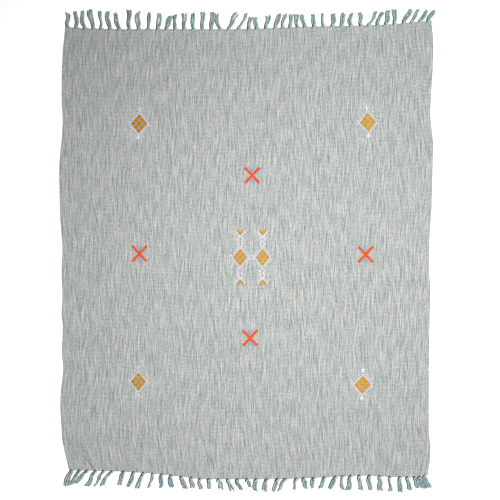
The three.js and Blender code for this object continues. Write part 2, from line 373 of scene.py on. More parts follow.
@dataclass(frozen=True)
class ClothPlan:
    """Outline and lie of the cloth, in millimetres.

    Attributes:
        half_width: Half the width before the selvedges wander.
        half_length: Half the length before the ends wander.
        thickness: Thickness of the woven cloth.
        solid_columns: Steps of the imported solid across.
        solid_rows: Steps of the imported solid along.
    """

    half_width: float = 650
    half_length: float = 792
    thickness: float = 2
    solid_columns: int = 30
    solid_rows: int = 36

    def point(self, across: np.ndarray, along: np.ndarray) -> tuple[np.ndarray, np.ndarray]:
        """Place in the plan of shares from 0 to 1 across and along the cloth.

        Args:
            across: Shares from the left selvedge to the right one.
            along: Shares from the lower end to the upper one.

        Returns:
            x and y of each place.
        """
        straight_x = (2 * across - 1) * self.half_width
        straight_y = (2 * along - 1) * self.half_length
        left = -self.half_width - LEFT_SELVEDGE.out(straight_y)
        right = self.half_width + RIGHT_SELVEDGE.out(straight_y)
        lower = -self.half_length - LOWER_EDGE.out(straight_x)
        upper = self.half_length + UPPER_EDGE.out(straight_x)
        return left + (right - left) * across, lower + (upper - lower) * along

    def end_y(self, x: np.ndarray, end: End) -> np.ndarray:
        """y of one end of the cloth at places across it."""
        side = end.value
        corner = np.array(side * self.half_length)
        left = -self.half_width - LEFT_SELVEDGE.out(corner)
        right = self.half_width + RIGHT_SELVEDGE.out(corner)
        straight_x = (2 * (x - left) / (right - left) - 1) * self.half_width
        edge = UPPER_EDGE if end is End.UPPER else LOWER_EDGE
        return side * (self.half_length + edge.out(straight_x))

    def lift(self, x: np.ndarray, y: np.ndarray) -> np.ndarray:
        """How far folds and creases lift the cloth off the floor."""
        return np.maximum(0, self._ridges(FOLDS, x, y).max(0) + self._ridges(CREASES, x, y).sum(0))

    def shift(self) -> tuple[float, float]:
        """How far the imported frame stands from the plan, in x and y."""
        low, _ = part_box("throw_cloth")
        left = self.point(np.array(0.0), np.linspace(0, 1, self.solid_rows + 1))[0].min()
        lower = self.point(np.linspace(0, 1, self.solid_columns + 1), np.array(0.0))[1].min()
        return low.x / MM - float(left), low.y / MM - float(lower)

    @staticmethod
    def _ridges(rows: Table, x: np.ndarray, y: np.ndarray) -> np.ndarray:
        """Height of each ridge in a table, as one layer for each row."""
        layers = []
        for centre_x, centre_y, turn, length, width, rise in rows:
            angle = math.radians(turn)
            u = (x - centre_x) * math.cos(angle) + (y - centre_y) * math.sin(angle)
            v = (y - centre_y) * math.cos(angle) - (x - centre_x) * math.sin(angle)
            layers.append(rise * soft_hump(u / (length / 2)) * soft_hump(v / (width / 2)))
        return np.array(layers)


@dataclass(frozen=True)
class Tassel:
    """One tassel: its knot's place on the cloth's end, its tips' place, the bow between, and its strands."""

    root: Point
    tip: Point
    bow: float
    strands: int


def tassel_places(
    table: Table, plan: ClothPlan, end: End, full: Sequence[int] = (), width: float = 14.7, bow: float = 2.4
) -> list[Tassel]:
    """Places of every tassel of one end, with neighbouring tips kept a tassel's width apart.

    Every fifth tassel is thin, of two strands.

    Args:
        table: Rows of the tassels that were measured.
        plan: Plan of the cloth.
        end: End of the cloth that they hang from.
        full: Numbers of the tassels that took in the selvedge's yarns too and are fuller.
        width: Width of one tassel at its tips.
        bow: How far every third tassel bows to each side.

    Returns:
        The tassels from left to right.
    """
    numbers, roots, leans, reaches = np.array(table, dtype=float).T
    places: list[Tassel] = []
    for number in range(1, int(numbers[-1]) + 1):
        root_x = float(np.interp(number, numbers, roots))
        root_y = float(plan.end_y(np.array(root_x), end))
        tip_x = root_x + float(np.interp(number, numbers, leans))
        if places:
            tip_x = max(tip_x, places[-1].tip[0] + width)
        tip_y = root_y + end.value * float(np.interp(number, numbers, reaches))
        strands = 4 if number in full else 2 if number % 5 == 0 else 3
        places.append(Tassel((root_x, root_y), (tip_x, tip_y), (number % 3 - 1) * bow, strands))
    return places


# Geometry Nodes trees


@dataclass(frozen=True)
class NodeInput:
    """One named input of a Geometry Nodes tree, with the socket type and value that it starts from."""

    name: str
    socket: str
    value: object = None


class PieceTree:
    """Geometry Nodes tree that is put on a piece, made a plain mesh and taken off again."""

    title = "piece"
    wanted: tuple[NodeInput, ...] = ()

    def __init__(self) -> None:
        """Builds the tree with its named inputs."""
        self.tree = bpy.data.node_groups.new(self.title, "GeometryNodeTree")
        face = self.tree.interface
        face.new_socket("Geometry", in_out="INPUT", socket_type="NodeSocketGeometry")
        face.new_socket("Geometry", in_out="OUTPUT", socket_type="NodeSocketGeometry")
        self.sockets = {}
        for item in self.wanted:
            self.sockets[item.name] = face.new_socket(item.name, in_out="INPUT", socket_type=item.socket)
            if item.value is not None:
                self.sockets[item.name].default_value = item.value
        self.inputs = self.tree.nodes.new("NodeGroupInput").outputs
        self.build()

    def build(self) -> None:
        """Adds the tree's own nodes."""
        raise NotImplementedError

    def finish(self, geometry: NodeSocket) -> None:
        """Ends the tree with smooth shading and the piece's material."""
        smooth = add_node(self.tree, "GeometryNodeSetShadeSmooth", {"Geometry": geometry})
        dress = {"Geometry": smooth.outputs[0], "Material": self.inputs["Material"]}
        dressed = add_node(self.tree, "GeometryNodeSetMaterial", dress)
        add_node(self.tree, "NodeGroupOutput", {"Geometry": dressed.outputs[0]})

    def apply(self, piece: Object, values: dict[str, object]) -> None:
        """Puts the tree on a piece and turns the result into the piece's plain mesh.

        Args:
            piece: Mesh object of points or lines.
            values: Value of each input that differs from its start.
        """
        modifier = piece.modifiers.new(self.title, "NODES")
        modifier.node_group = self.tree
        for name, value in values.items():
            modifier[self.sockets[name].identifier] = value
        graph = bpy.context.evaluated_depsgraph_get()
        made = bpy.data.meshes.new_from_object(
            piece.evaluated_get(graph), preserve_all_data_layers=True, depsgraph=graph
        )
        piece.modifiers.remove(modifier)
        piece.data = made


class LaidThreads(PieceTree):
    """Lays one short thread at every point and drops it onto the cloth under it.

    Each point holds the thread's turn, long, wide and high, and its z is how far the thread's middle stands
    over the cloth. Taper is low for a lens, as a slub is, and high for a stitch of even thickness.
    """

    title = "laid_threads"
    wanted = (
        NodeInput("Cloth", "NodeSocketObject"),
        NodeInput("Material", "NodeSocketMaterial"),
        NodeInput("Rings", "NodeSocketInt", 6),
        NodeInput("Sides", "NodeSocketInt", 6),
        NodeInput("Taper", "NodeSocketFloat", 4.0),
        NodeInput("Blunt Tip", "NodeSocketFloat", 0.18),
    )

    def build(self) -> None:
        """Adds the thread, its instances and their fall onto the cloth."""
        instances = self._place(self._thread())
        plain = add_node(self.tree, "GeometryNodeRealizeInstances", {"Geometry": instances})
        self.finish(self._drop(plain.outputs[0]))

    def _thread(self) -> NodeSocket:
        """One thread of length, width and height 1 along X."""
        tree = self.tree
        line = add_node(tree, "GeometryNodeCurvePrimitiveLine", {"Start": (-0.5, 0, 0), "End": (0.5, 0, 0)})
        rings = {"Curve": line.outputs[0], "Count": self.inputs["Rings"]}
        share = add_node(tree, "GeometryNodeSplineParameter").outputs["Factor"]
        away = calc(tree, "ABSOLUTE", calc(tree, "MULTIPLY_ADD", share, 2.0, -1.0))
        left = calc(tree, "SUBTRACT", 1.0, calc(tree, "POWER", away, self.inputs["Taper"]))
        circle = {"Resolution": self.inputs["Sides"], "Radius": 0.5}
        tube = {
            "Curve": add_node(tree, "GeometryNodeResampleCurve", rings).outputs[0],
            "Profile Curve": add_node(tree, "GeometryNodeCurvePrimitiveCircle", circle).outputs[0],
            "Scale": calc(tree, "MAXIMUM", calc(tree, "SQRT", left), self.inputs["Blunt Tip"]),
            "Fill Caps": True,
        }
        return add_node(tree, "GeometryNodeCurveToMesh", tube).outputs[0]

    def _place(self, thread: NodeSocket) -> NodeSocket:
        """An instance of the thread at every point, turned and sized."""
        tree = self.tree
        turned = add_node(tree, "ShaderNodeCombineXYZ", {"Z": field_of(tree, "turn")})
        rotation = add_node(tree, "FunctionNodeEulerToRotation", {"Euler": turned.outputs[0]})
        size = {"X": field_of(tree, "long"), "Y": field_of(tree, "wide"), "Z": field_of(tree, "high")}
        placed = {
            "Points": self.inputs["Geometry"],
            "Instance": thread,
            "Rotation": rotation.outputs[0],
            "Scale": add_node(tree, "ShaderNodeCombineXYZ", size).outputs[0],
        }
        return add_node(tree, "GeometryNodeInstanceOnPoints", placed).outputs[0]

    def _drop(self, geometry: NodeSocket) -> NodeSocket:
        """The threads, raised by the height of the cloth under them, with the cloth's weave coordinates."""
        tree = self.tree
        cloth = add_node(tree, "GeometryNodeObjectInfo", {"Object": self.inputs["Cloth"]})
        here = add_node(tree, "GeometryNodeInputPosition").outputs[0]
        plan = vector_calc(tree, "MULTIPLY", here, (1, 1, 0))
        ray = {
            "Target Geometry": cloth.outputs["Geometry"],
            "Attribute": field_of(tree, "weave", "FLOAT_VECTOR"),
            "Source Position": vector_calc(tree, "ADD", plan, (0, 0, 0.5)),
            "Ray Direction": (0, 0, -1),
            "Ray Length": 1.0,
        }
        hit = add_node(tree, "GeometryNodeRaycast", ray, data_type="FLOAT_VECTOR").outputs
        ground = vector_calc(tree, "MULTIPLY", hit["Hit Position"], (0, 0, 1))
        laid = add_node(tree, "GeometryNodeSetPosition", {"Geometry": geometry, "Offset": ground})
        return keep(tree, laid.outputs[0], "weave", hit["Attribute"], "FLOAT_VECTOR")


class SpunYarns(PieceTree):
    """Turns lines into round yarns.

    Each point holds its yarn's thick, the radius there. The result holds along, the distance from the
    yarn's start, and around, the direction out from its middle, which the ply twist is drawn with.
    """

    title = "spun_yarns"
    wanted = (NodeInput("Material", "NodeSocketMaterial"), NodeInput("Sides", "NodeSocketInt", 6))

    def build(self) -> None:
        """Adds the yarns."""
        tree = self.tree
        line = add_node(tree, "GeometryNodeMeshToCurve", {"Mesh": self.inputs["Geometry"]}).outputs[0]
        length = add_node(tree, "GeometryNodeSplineParameter").outputs["Length"]
        circle = {"Resolution": self.inputs["Sides"], "Radius": 1.0}
        profile = add_node(tree, "GeometryNodeCurvePrimitiveCircle", circle).outputs[0]
        here = add_node(tree, "GeometryNodeInputPosition").outputs[0]
        tube = {
            "Curve": keep(tree, line, "along", length),
            "Profile Curve": keep(tree, profile, "around", here, "FLOAT_VECTOR"),
            "Scale": field_of(tree, "thick"),
            "Fill Caps": True,
        }
        yarns = add_node(tree, "GeometryNodeCurveToMesh", tube).outputs[0]
        plain = add_node(tree, "GeometryNodeRealizeInstances", {"Geometry": yarns})
        self.finish(plain.outputs[0])


# Finishes


def empty_material(name: str) -> Material:
    """New material whose tree holds no nodes yet."""
    material = bpy.data.materials.new(name)
    material.use_nodes = True
    material.node_tree.nodes.clear()
    return material


def fibre_noise(tree: NodeTree, scale: float) -> NodeSocket:
    """Fine unevenness of single fibres, all over the object."""
    place = add_node(tree, "ShaderNodeTexCoord").outputs["Object"]
    grain = {"Vector": place, "Scale": scale, "Detail": 2.0}
    return add_node(tree, "ShaderNodeTexNoise", grain).outputs["Fac"]


@dataclass(frozen=True)
class FibreSurface:
    """How cotton fibres meet the light.

    Attributes:
        roughness: Roughness of the shader.
        specular: Its specular level.
        sheen: Weight of the fuzz.
        sheen_roughness: Roughness of the fuzz.
        bump: Strength of the relief.
        relief: Height of the relief in millimetres.
    """

    roughness: float
    specular: float
    sheen: float
    sheen_roughness: float
    bump: float
    relief: float

    def end(self, tree: NodeTree, stops: Stops, tone: NodeSocket, height: NodeSocket) -> None:
        """Ends a material's tree.

        Args:
            tree: Tree of the material.
            stops: Tone from 0 to 1 and sRGB colour at that tone.
            tone: Tone at each place.
            height: Height of the relief there.
        """
        ramp = add_node(tree, "ShaderNodeValToRGB", {"Fac": tone})
        set_stops(ramp, stops)
        relief = {"Strength": self.bump, "Distance": self.relief * MM, "Height": height}
        surface = {
            "Base Color": ramp.outputs["Color"],
            "Roughness": self.roughness,
            "Specular IOR Level": self.specular,
            "Sheen Weight": self.sheen,
            "Sheen Roughness": self.sheen_roughness,
            "Normal": add_node(tree, "ShaderNodeBump", relief).outputs[0],
        }
        shader = add_node(tree, "ShaderNodeBsdfPrincipled", surface)
        add_node(tree, "ShaderNodeOutputMaterial", {"Surface": shader.outputs[0]})


@dataclass(frozen=True)
class Grain:
    """One scale of uneven tone in a cloth.

    Attributes:
        cell: Width and length of its patches in millimetres.
        detail: Detail of the noise.
        weight: Its share of the tone.
        by_yarn: Whether each warp yarn has a tone of its own, so that the cell's width is the yarns' pitch.
    """

    cell: Point
    detail: float
    weight: float
    by_yarn: bool = False


@dataclass(frozen=True)
class SlubCotton:
    """Handloom slub cotton in teal and undyed cream yarns.

    Dry matt cotton with no gloss of its own. Thick places in the warp yarns give short pale and dark streaks
    along the cloth, crossed by faint ribs of weft, and a slight fuzz lightens it at a low angle. Pitches,
    cells and wanders are in millimetres, and a cell is the width and length of one noise's patches.
    """

    surface: FibreSurface = FibreSurface(
        roughness=0.92, specular=0.2, sheen=0.12, sheen_roughness=0.6, bump=0.5, relief=0.6
    )
    stops: Stops = ((0.0, "879D9C"), (0.2, "A0ABA9"), (0.5, "B8BDBB"), (0.78, "CDCBC8"), (1.0, "DFD7D1"))
    grains: tuple[Grain, ...] = (
        Grain((3.83, 60), 0, 1.9, by_yarn=True),
        Grain((3.83, 22), 0, 0.8, by_yarn=True),
        Grain((20, 44), 0, 0.5),
        Grain((4.4, 5), 0, 1.1),
    )
    own_weight: float = 0.12
    band_weight: float = 0.21
    weft_weight: float = 0.2
    beside: float = 0.5
    contrast: float = 0.61
    yarn_pitch: float = 3.83
    yarn_gap: float = 7
    yarn_start: float = 300
    warp_wander: float = 6
    warp_cell: Point = (60, 110)
    band_pitch: float = 15.3
    band_cell: Point = (26, 60)
    weft_wander: float = 14
    weft_cell: Point = (24, 26)
    weft_pitch: float = 14
    weft_share_cell: Point = (60, 30)
    weave_pitch: float = 4.4

    def make(self) -> Material:
        """Builds the material."""
        material = empty_material("slub_cotton_plain_weave")
        tree = material.node_tree
        weave = read(tree, "weave", "Vector")
        wander = self._noise(tree, weave, self.warp_cell, 1)
        offset = calc(tree, "MULTIPLY_ADD", wander, self.warp_wander * MM, -self.warp_wander / 2 * MM)
        sideways = add_node(tree, "ShaderNodeCombineXYZ", {"X": offset})
        warp = vector_calc(tree, "ADD", weave, sideways.outputs[0])
        place = add_node(tree, "ShaderNodeSeparateXYZ", {"Vector": warp})
        snaking = self._noise(tree, warp, self.weft_cell, 0)
        weft_place = calc(tree, "MULTIPLY_ADD", snaking, self.weft_wander * MM, place.outputs["Y"])
        bands = self._ribs(tree, place.outputs["X"], self.band_pitch)
        band_share = self._noise(tree, warp, self.band_cell, 1)
        wefts = self._ribs(tree, weft_place, self.weft_pitch)
        weft_share = self._noise(tree, warp, self.weft_share_cell, 1)
        shares = [
            (calc(tree, "MULTIPLY", bands, band_share), self.band_weight),
            (calc(tree, "MULTIPLY", wefts, weft_share), self.weft_weight),
            # tone holds each slub's own random tone, and painted shade: the dark threads by the stitches, the
            # cloth's ends and the selvedge yarns
            (read(tree, "tone"), self.own_weight),
        ]
        uneven = self._uneven(tree, warp, place)
        even = 0.5 - self.contrast * sum(weight for _, weight in uneven) / 2
        parts = [(socket, weight * self.contrast) for socket, weight in shares + uneven]
        tone = self._sum(tree, parts, even)
        self.surface.end(tree, self.stops, tone, self._relief(tree, place, tone))
        return material

    @staticmethod
    def _noise(tree: NodeTree, vector: NodeSocket, cell: Point, detail: float) -> NodeSocket:
        """Uneven yarn tone in cells of a width and length in millimetres."""
        scaled = vector_calc(tree, "MULTIPLY", vector, (1 / (cell[0] * MM), 1 / (cell[1] * MM), 1))
        grain = {"Vector": scaled, "Scale": 1.0, "Detail": detail, "Roughness": 0.6}
        return add_node(tree, "ShaderNodeTexNoise", grain, noise_dimensions="2D").outputs["Fac"]

    def _uneven(self, tree: NodeTree, warp: NodeSocket, place: Node) -> list[tuple[NodeSocket, float]]:
        """Every grain of the cloth with its weight.

        A yarn looks darker beside a pale one and paler beside a dark one.

        Args:
            tree: Tree of the material.
            warp: Weave coordinates.
            place: The same, apart.

        Returns:
            Tone and weight of each grain.
        """
        own = self._single_yarns(tree, place, 0)
        beside = self._single_yarns(tree, place, 1)
        made = []
        for grain in self.grains:
            places = ((own, 1.0), (beside, -self.beside)) if grain.by_yarn else ((warp, 1.0),)
            for where, share in places:
                made.append((self._noise(tree, where, grain.cell, grain.detail), share * grain.weight))
        return made

    def _single_yarns(self, tree: NodeTree, place: Node, ahead: int) -> NodeSocket:
        """Weave coordinates with one place across for each warp yarn, far from the next, and its own start.

        Args:
            tree: Tree of the material.
            place: Weave coordinates, apart.
            ahead: 0 for the yarn that is here and 1 for the next one.

        Returns:
            The coordinates.
        """
        pitch = self.yarn_pitch * MM
        number = calc(tree, "FLOOR", calc(tree, "MULTIPLY_ADD", place.outputs["X"], 1 / pitch, ahead))
        chance = add_node(tree, "ShaderNodeTexWhiteNoise", {"W": number}, noise_dimensions="1D")
        start = (chance.outputs["Value"], self.yarn_start * MM, place.outputs["Y"])
        parts = {
            "X": calc(tree, "MULTIPLY", number, self.yarn_gap * pitch),
            "Y": calc(tree, "MULTIPLY_ADD", *start),
        }
        return add_node(tree, "ShaderNodeCombineXYZ", parts).outputs[0]

    @staticmethod
    def _ribs(tree: NodeTree, place: NodeSocket, pitch: float) -> NodeSocket:
        """Ribs from -1 to 1 with a pitch in millimetres."""
        return calc(tree, "SINE", calc(tree, "MULTIPLY", place, math.tau / (pitch * MM)))

    @staticmethod
    def _sum(tree: NodeTree, parts: Iterable[tuple[NodeSocket, float]], start: float) -> NodeSocket:
        """Sum of sockets, each times its weight, from a starting number."""
        total: object = start
        for socket, weight in parts:
            total = calc(tree, "MULTIPLY_ADD", socket, weight, total)
        return total

    def _relief(self, tree: NodeTree, place: Node, tone: NodeSocket) -> NodeSocket:
        """Relief of the plain weave. Its yarns are about 2 mm apart, drawn at 4.4 mm so that they show."""
        over = self._ribs(tree, place.outputs["X"], self.weave_pitch)
        under = self._ribs(tree, place.outputs["Y"], self.weave_pitch)
        return self._sum(tree, ((calc(tree, "MULTIPLY", over, under), 0.5), (tone, 0.8)), 0.0)


@dataclass(frozen=True)
class SpunCotton:
    """Loose two-ply cotton yarn, dyed teal in the hank and some of it left cream.

    Matt, with the soft diagonal lines of its twist in painted light and shade, darker between the plies, and
    each yarn a little lighter or darker than the next.
    """

    surface: FibreSurface = FibreSurface(
        roughness=0.9, specular=0.2, sheen=0.15, sheen_roughness=0.5, bump=0.6, relief=0.35
    )
    # The darkest stop is reached by the yarns of painted shade.
    stops: Stops = (
        (0.0, "2A2624"),
        (0.14, "45605D"),
        (0.36, "74B4B3"),
        (0.55, "9CCAC9"),
        (0.72, "B9CFCD"),
        (1.0, "DAD6D0"),
    )
    twist_pitch: float = 5
    painted_ply_shade: float = 0.07
    fuzz_scale: float = 260
    fuzz_tone: float = 0.5
    fuzz_height: float = 0.6
    contrast: float = 0.65
    darkest: float = 0.3

    def make(self) -> Material:
        """Builds the material."""
        material = empty_material("two_ply_spun_cotton")
        tree = material.node_tree
        side = add_node(tree, "ShaderNodeSeparateXYZ", {"Vector": read(tree, "around", "Vector")})
        turn = calc(tree, "MULTIPLY", read(tree, "along"), math.tau / (self.twist_pitch * MM))
        first = calc(tree, "MULTIPLY", calc(tree, "SINE", turn), side.outputs["X"])
        ply = calc(tree, "MULTIPLY_ADD", calc(tree, "COSINE", turn), side.outputs["Y"], first)
        fuzz = fibre_noise(tree, self.fuzz_scale)
        # Painted light and shade along the twist: paler on one ply, darker between the plies.
        shaded = calc(tree, "MULTIPLY_ADD", ply, self.painted_ply_shade, read(tree, "tone"))
        uneven = calc(tree, "MULTIPLY_ADD", fuzz, self.fuzz_tone, shaded)
        level = calc(tree, "MULTIPLY_ADD", uneven, self.contrast, self.darkest)
        height = calc(tree, "MULTIPLY_ADD", fuzz, self.fuzz_height, ply)
        self.surface.end(tree, self.stops, level, height)
        return material


@dataclass(frozen=True)
class Floss:
    """Mercerised cotton floss, worked flat on the cloth.

    Its long smooth fibres catch a soft light, brighter than the cloth round it, and each stitch differs
    slightly.

    Attributes:
        name: Name of the material.
        stops: Tone from 0 to 1 and colour of the floss at that tone.
        surface: How its fibres meet the light.
        strand_scale: Scale of the noise of its fibres.
        strand_tone: How much that noise changes the tone.
    """

    name: str
    stops: Stops
    surface: FibreSurface = FibreSurface(
        roughness=0.5, specular=0.12, sheen=0.01, sheen_roughness=0.4, bump=0.4, relief=0.2
    )
    strand_scale: float = 700
    strand_tone: float = 0.3

    def make(self) -> Material:
        """Builds the material."""
        material = empty_material(self.name)
        tree = material.node_tree
        strand = fibre_noise(tree, self.strand_scale)
        varied = calc(tree, "MULTIPLY_ADD", strand, self.strand_tone, read(tree, "tone"))
        level = calc(tree, "SUBTRACT", varied, self.strand_tone / 2)
        self.surface.end(tree, self.stops, level, strand)
        return material


GOLD_FLOSS = Floss("gold_mercerised_floss", ((0.0, "BC7E00"), (0.5, "E3AB00"), (1.0, "F6C60A")))
LILAC_FLOSS = Floss(
    "lilac_mercerised_floss",
    ((0.0, "A4C8EA"), (0.28, "A6A5BE"), (0.6, "D2CBDA"), (0.85, "E5E2EB"), (1.0, "F8F4FB")),
)
ORANGE_FLOSS = Floss("orange_mercerised_floss", ((0.0, "E04400"), (0.5, "FB5F00"), (1.0, "F68548")))


# Pieces


def declare(piece: Object) -> Object:
    """Puts a finished piece on the throw's body.

    Args:
        piece: Finished piece.

    Returns:
        The same piece.
    """
    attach(piece, BODY)
    faces = sum(len(polygon.vertices) - 2 for polygon in piece.data.polygons)
    LOG.info("%s: %d triangles", piece.name, faces)
    return piece


@dataclass
class Cloth:
    """The woven cloth: one closed sheet on its folds, with low ribs of warp, drawn in at each knot."""

    plan: ClothPlan
    shift: Point
    columns: int = 360
    row_pitch: float = 14
    near_rows: tuple[float, ...] = (0, 2.5, 6, 11, 18, 28)
    gather_out: float = 1.1
    gather_in: float = 2.6
    gather_depth: float = 15
    gather_height: float = 0.5
    rib_pitch: float = 15.3
    rib_height: float = 0.12
    uneven_height: float = 0.35
    wave_height: float = 0.5
    end_shade: float = 2.6
    end_shade_reach: float = 2.2

    def build(self, fringes: dict[End, list[Tassel]], material: Material) -> Object:
        """Makes the sheet.

        Args:
            fringes: Tassels at each end.
            material: The cloth's finish.

        Returns:
            The cloth.
        """
        along = self._row_shares()
        share_x, share_y = np.meshgrid(np.linspace(0, 1, self.columns + 1), along)
        x, y = self.plan.point(share_x, share_y)
        lift = self.plan.lift(x, y)
        relief = self._relief(x, y)
        for end, tassels in fringes.items():
            x, y, ridge = self._gather(x, y, end, tassels)
            relief = relief + ridge
        under = np.stack([x + self.shift[0], y + self.shift[1], lift], -1).reshape(-1, 3)
        over = under + np.stack([0 * lift, 0 * lift, self.plan.thickness + relief], -1).reshape(-1, 3)
        cloth = mesh_object("cloth", np.vstack([under, over]), faces=self._faces(len(along)))
        flat_x = (share_x - 0.5) * 2 * self.plan.half_width * MM
        flat_y = (share_y - 0.5) * 2 * self.plan.half_length * MM
        weave = np.stack([flat_x, flat_y, 0 * flat_x], -1).reshape(-1, 3)
        store(cloth, "weave", np.vstack([weave, weave]))
        # The cloth's tone is painted shade at its two ends and about 0 elsewhere.
        store(cloth, "tone", np.tile(self._painted_end_shade(share_y), 2))
        cloth.data.polygons.foreach_set("use_smooth", [True] * len(cloth.data.polygons))
        cloth.data.materials.append(material)
        return cloth

    def _row_shares(self) -> np.ndarray:
        """Shares along the cloth of its rows, closer together near both ends."""
        length = 2 * self.plan.half_length
        near = np.array(self.near_rows) / length
        middle = np.linspace(near[-1], 1 - near[-1], round(length / self.row_pitch))
        return np.concatenate([near[:-1], middle, 1 - near[-2::-1]])

    def _painted_end_shade(self, share_y: np.ndarray) -> np.ndarray:
        """Painted shade: darker tone of the last weft yarns at both ends, where they turn away from the
        light.
        """
        inside = np.minimum(share_y, 1 - share_y) * 2 * self.plan.half_length
        return (-self.end_shade * np.exp(-inside / self.end_shade_reach)).ravel()

    def _relief(self, x: np.ndarray, y: np.ndarray) -> np.ndarray:
        """Height of the warp ribs and uneven yarns over the even face."""
        ribs = np.cos(math.tau * x / self.rib_pitch) * (1 + soft_field(3, x, y, (40, 120)))
        yarns = soft_field(5, x, y, (9, 70))
        waves = soft_field(7, x, y, (160, 210))
        return self.rib_height * ribs + self.uneven_height * yarns + self.wave_height * waves

    def _gather(
        self, x: np.ndarray, y: np.ndarray, end: End, tassels: list[Tassel]
    ) -> tuple[np.ndarray, np.ndarray, np.ndarray]:
        """Draws the cloth in towards the knots of one end.

        Args:
            x: Places across.
            y: Places along.
            end: End that the knots are on.
            tassels: Tassels of that end.

        Returns:
            The new x and y, and the height of the small ridges that run into the knots.
        """
        roots = [tassel.root[0] for tassel in tassels]
        turn = math.tau * np.interp(x, roots, np.arange(len(roots)))
        nearness = np.exp(-np.abs(self.plan.end_y(x, end) - y) / self.gather_depth)
        drawn = x - self.gather_in * np.sin(turn) * nearness
        out = y + end.value * self.gather_out * np.cos(turn) * nearness
        return drawn, out, self.gather_height * np.cos(turn) * nearness

    def _faces(self, rows: int) -> list[tuple[int, ...]]:
        """Faces of the underside, the upper side and the rim, all pointing out."""
        wide = self.columns + 1
        top = wide * rows
        faces: list[tuple[int, ...]] = []
        for row in range(rows - 1):
            for column in range(self.columns):
                a = row * wide + column
                ring = (a, a + 1, a + 1 + wide, a + wide)
                faces.append(tuple(reversed(ring)))
                faces.append(tuple(corner + top for corner in ring))
        rim = list(range(self.columns))
        rim += [row * wide + self.columns for row in range(rows - 1)]
        rim += [(rows - 1) * wide + column for column in range(self.columns, 0, -1)]
        rim += [row * wide for row in range(rows - 1, 0, -1)]
        for here, there in sides_of(rim):
            faces.append((here, there, there + top, here + top))
        return faces


@dataclass(frozen=True)
class Stitch:
    """Look of one straight stitch.

    Attributes:
        wide: Its width in millimetres.
        high: Its full height, of which half sinks into the cloth.
        tone: Its tone from 0 to 1, before it is varied.
        raised: How far its middle stands over the cloth.
    """

    wide: float
    high: float
    tone: float
    raised: float


@dataclass
class Threads:
    """Short threads that are gathered as rows and then laid on the cloth as one piece.

    Attributes:
        shift: How far the frame stands from the plan, in millimetres.
        rng: Random numbers that make each thread a little different.
        rows: x, y, raise, turn, long, wide, high and tone of each thread.
        uneven: How much the tone differs from thread to thread.
    """

    shift: Point
    rng: np.random.Generator
    rows: list[tuple[float, ...]] = field(default_factory=list)
    uneven: float = 0.09

    def lay(self, start: Point, end: Point, look: Stitch) -> None:
        """Adds one straight thread.

        Args:
            start: Plan place of one end.
            end: Plan place of the other end.
            look: Its look.
        """
        turn = math.atan2(end[1] - start[1], end[0] - start[0])
        tone = look.tone + self.rng.normal(0, self.uneven)
        size = (math.dist(start, end), look.wide, look.high)
        self.rows.append((*between(start, end, 0.5), look.raised, turn, *size, tone))

    def build(
        self, name: str, tree: LaidThreads, cloth: Object, material: Material, **sizes: object
    ) -> Object:
        """Makes the piece.

        Args:
            name: Its name.
            tree: Tree that lays the threads.
            cloth: Cloth that they lie on.
            material: Their finish.
            sizes: Other inputs of the tree, by name.

        Returns:
            The piece.
        """
        x, y, raised, turn, *size, tone = np.array(self.rows).T
        piece = mesh_object(name, np.stack([x + self.shift[0], y + self.shift[1], raised], -1))
        store(piece, "turn", turn)
        for label, values in zip(("long", "wide", "high"), size):
            store(piece, label, values * MM)
        store(piece, "tone", tone)
        tree.apply(piece, {"Cloth": cloth, "Material": material, **sizes})
        return piece


@dataclass(frozen=True)
class KeepClear:
    """Rectangle in the plan that no slub lies in, because stitches do."""

    x: float
    y: float
    half_width: float
    half_length: float

    def holds(self, x: float, y: float) -> bool:
        """Whether a place lies in it."""
        return abs(x - self.x) < self.half_width and abs(y - self.y) < self.half_length


@dataclass
class Slubs:
    """Thick places in the warp yarns: long low lenses that lie along the warp."""

    plan: ClothPlan
    count: int = 3300
    seed: int = 11
    lengths: Point = (24, 74)
    widths: Point = (2.4, 4.2)
    heights: Point = (0.7, 1.3)
    margin: float = 0.012
    step: float = 0.01
    turn_spread: float = 0.012

    def gather(self, threads: Threads, clear: Sequence[KeepClear]) -> Threads:
        """Scatters the slubs.

        Args:
            threads: Threads to add them to.
            clear: Places to leave free.

        Returns:
            The same threads.
        """
        rng = np.random.default_rng(self.seed)
        for _ in range(self.count):
            across = rng.uniform(self.margin, 1 - self.margin)
            along = rng.uniform(2 * self.margin, 1 - 2 * self.margin)
            here, ahead = (self._place(across, share) for share in (along, along + self.step))
            size = [rng.uniform(*limits) for limits in (self.lengths, self.widths, self.heights)]
            tone = rng.uniform(-1, 1)
            if any(area.holds(*here) for area in clear):
                continue
            turn = math.atan2(ahead[1] - here[1], ahead[0] - here[0]) + rng.normal(0, self.turn_spread)
            threads.rows.append((*here, 0.0, turn, *size, tone))
        return threads

    def _place(self, across: float, along: float) -> Point:
        """Plan place of shares across and along the cloth."""
        x, y = self.plan.point(np.array(across), np.array(along))
        return float(x), float(y)


@dataclass(frozen=True)
class YarnLine:
    """Middle line of one yarn: its path in millimetres, its radius at each point and its tone."""

    path: np.ndarray
    thick: np.ndarray
    tone: float


@dataclass(frozen=True)
class ShadedYarn:
    """Dark yarn of painted shade beside a strand: how far it lies aside and up, its thickness as a share, and
    its tone.
    """

    aside: float
    rise: float
    thickness: float
    tone: float


# Yarns of painted shade: the one beside a tassel's first strand is the darkest and thickest
FIRST_SHADED = ShadedYarn(3.5, 0.2, 1.2, -0.95)
NEXT_SHADED = ShadedYarn(2.7, 0.9, 0.85, -0.7)

# Tones of the dyed strands and wound yarns, and how often each one comes
STRAND_DYES = ((0.18, 0.34, 0.52, 0.88), (0.36, 0.38, 0.19, 0.07))
KNOT_DYES = ((0.25, 0.55, 0.85, 0.95), (0.25, 0.25, 0.25, 0.25))
FOOT_DYES = (0.05, 0.2, 0.35)
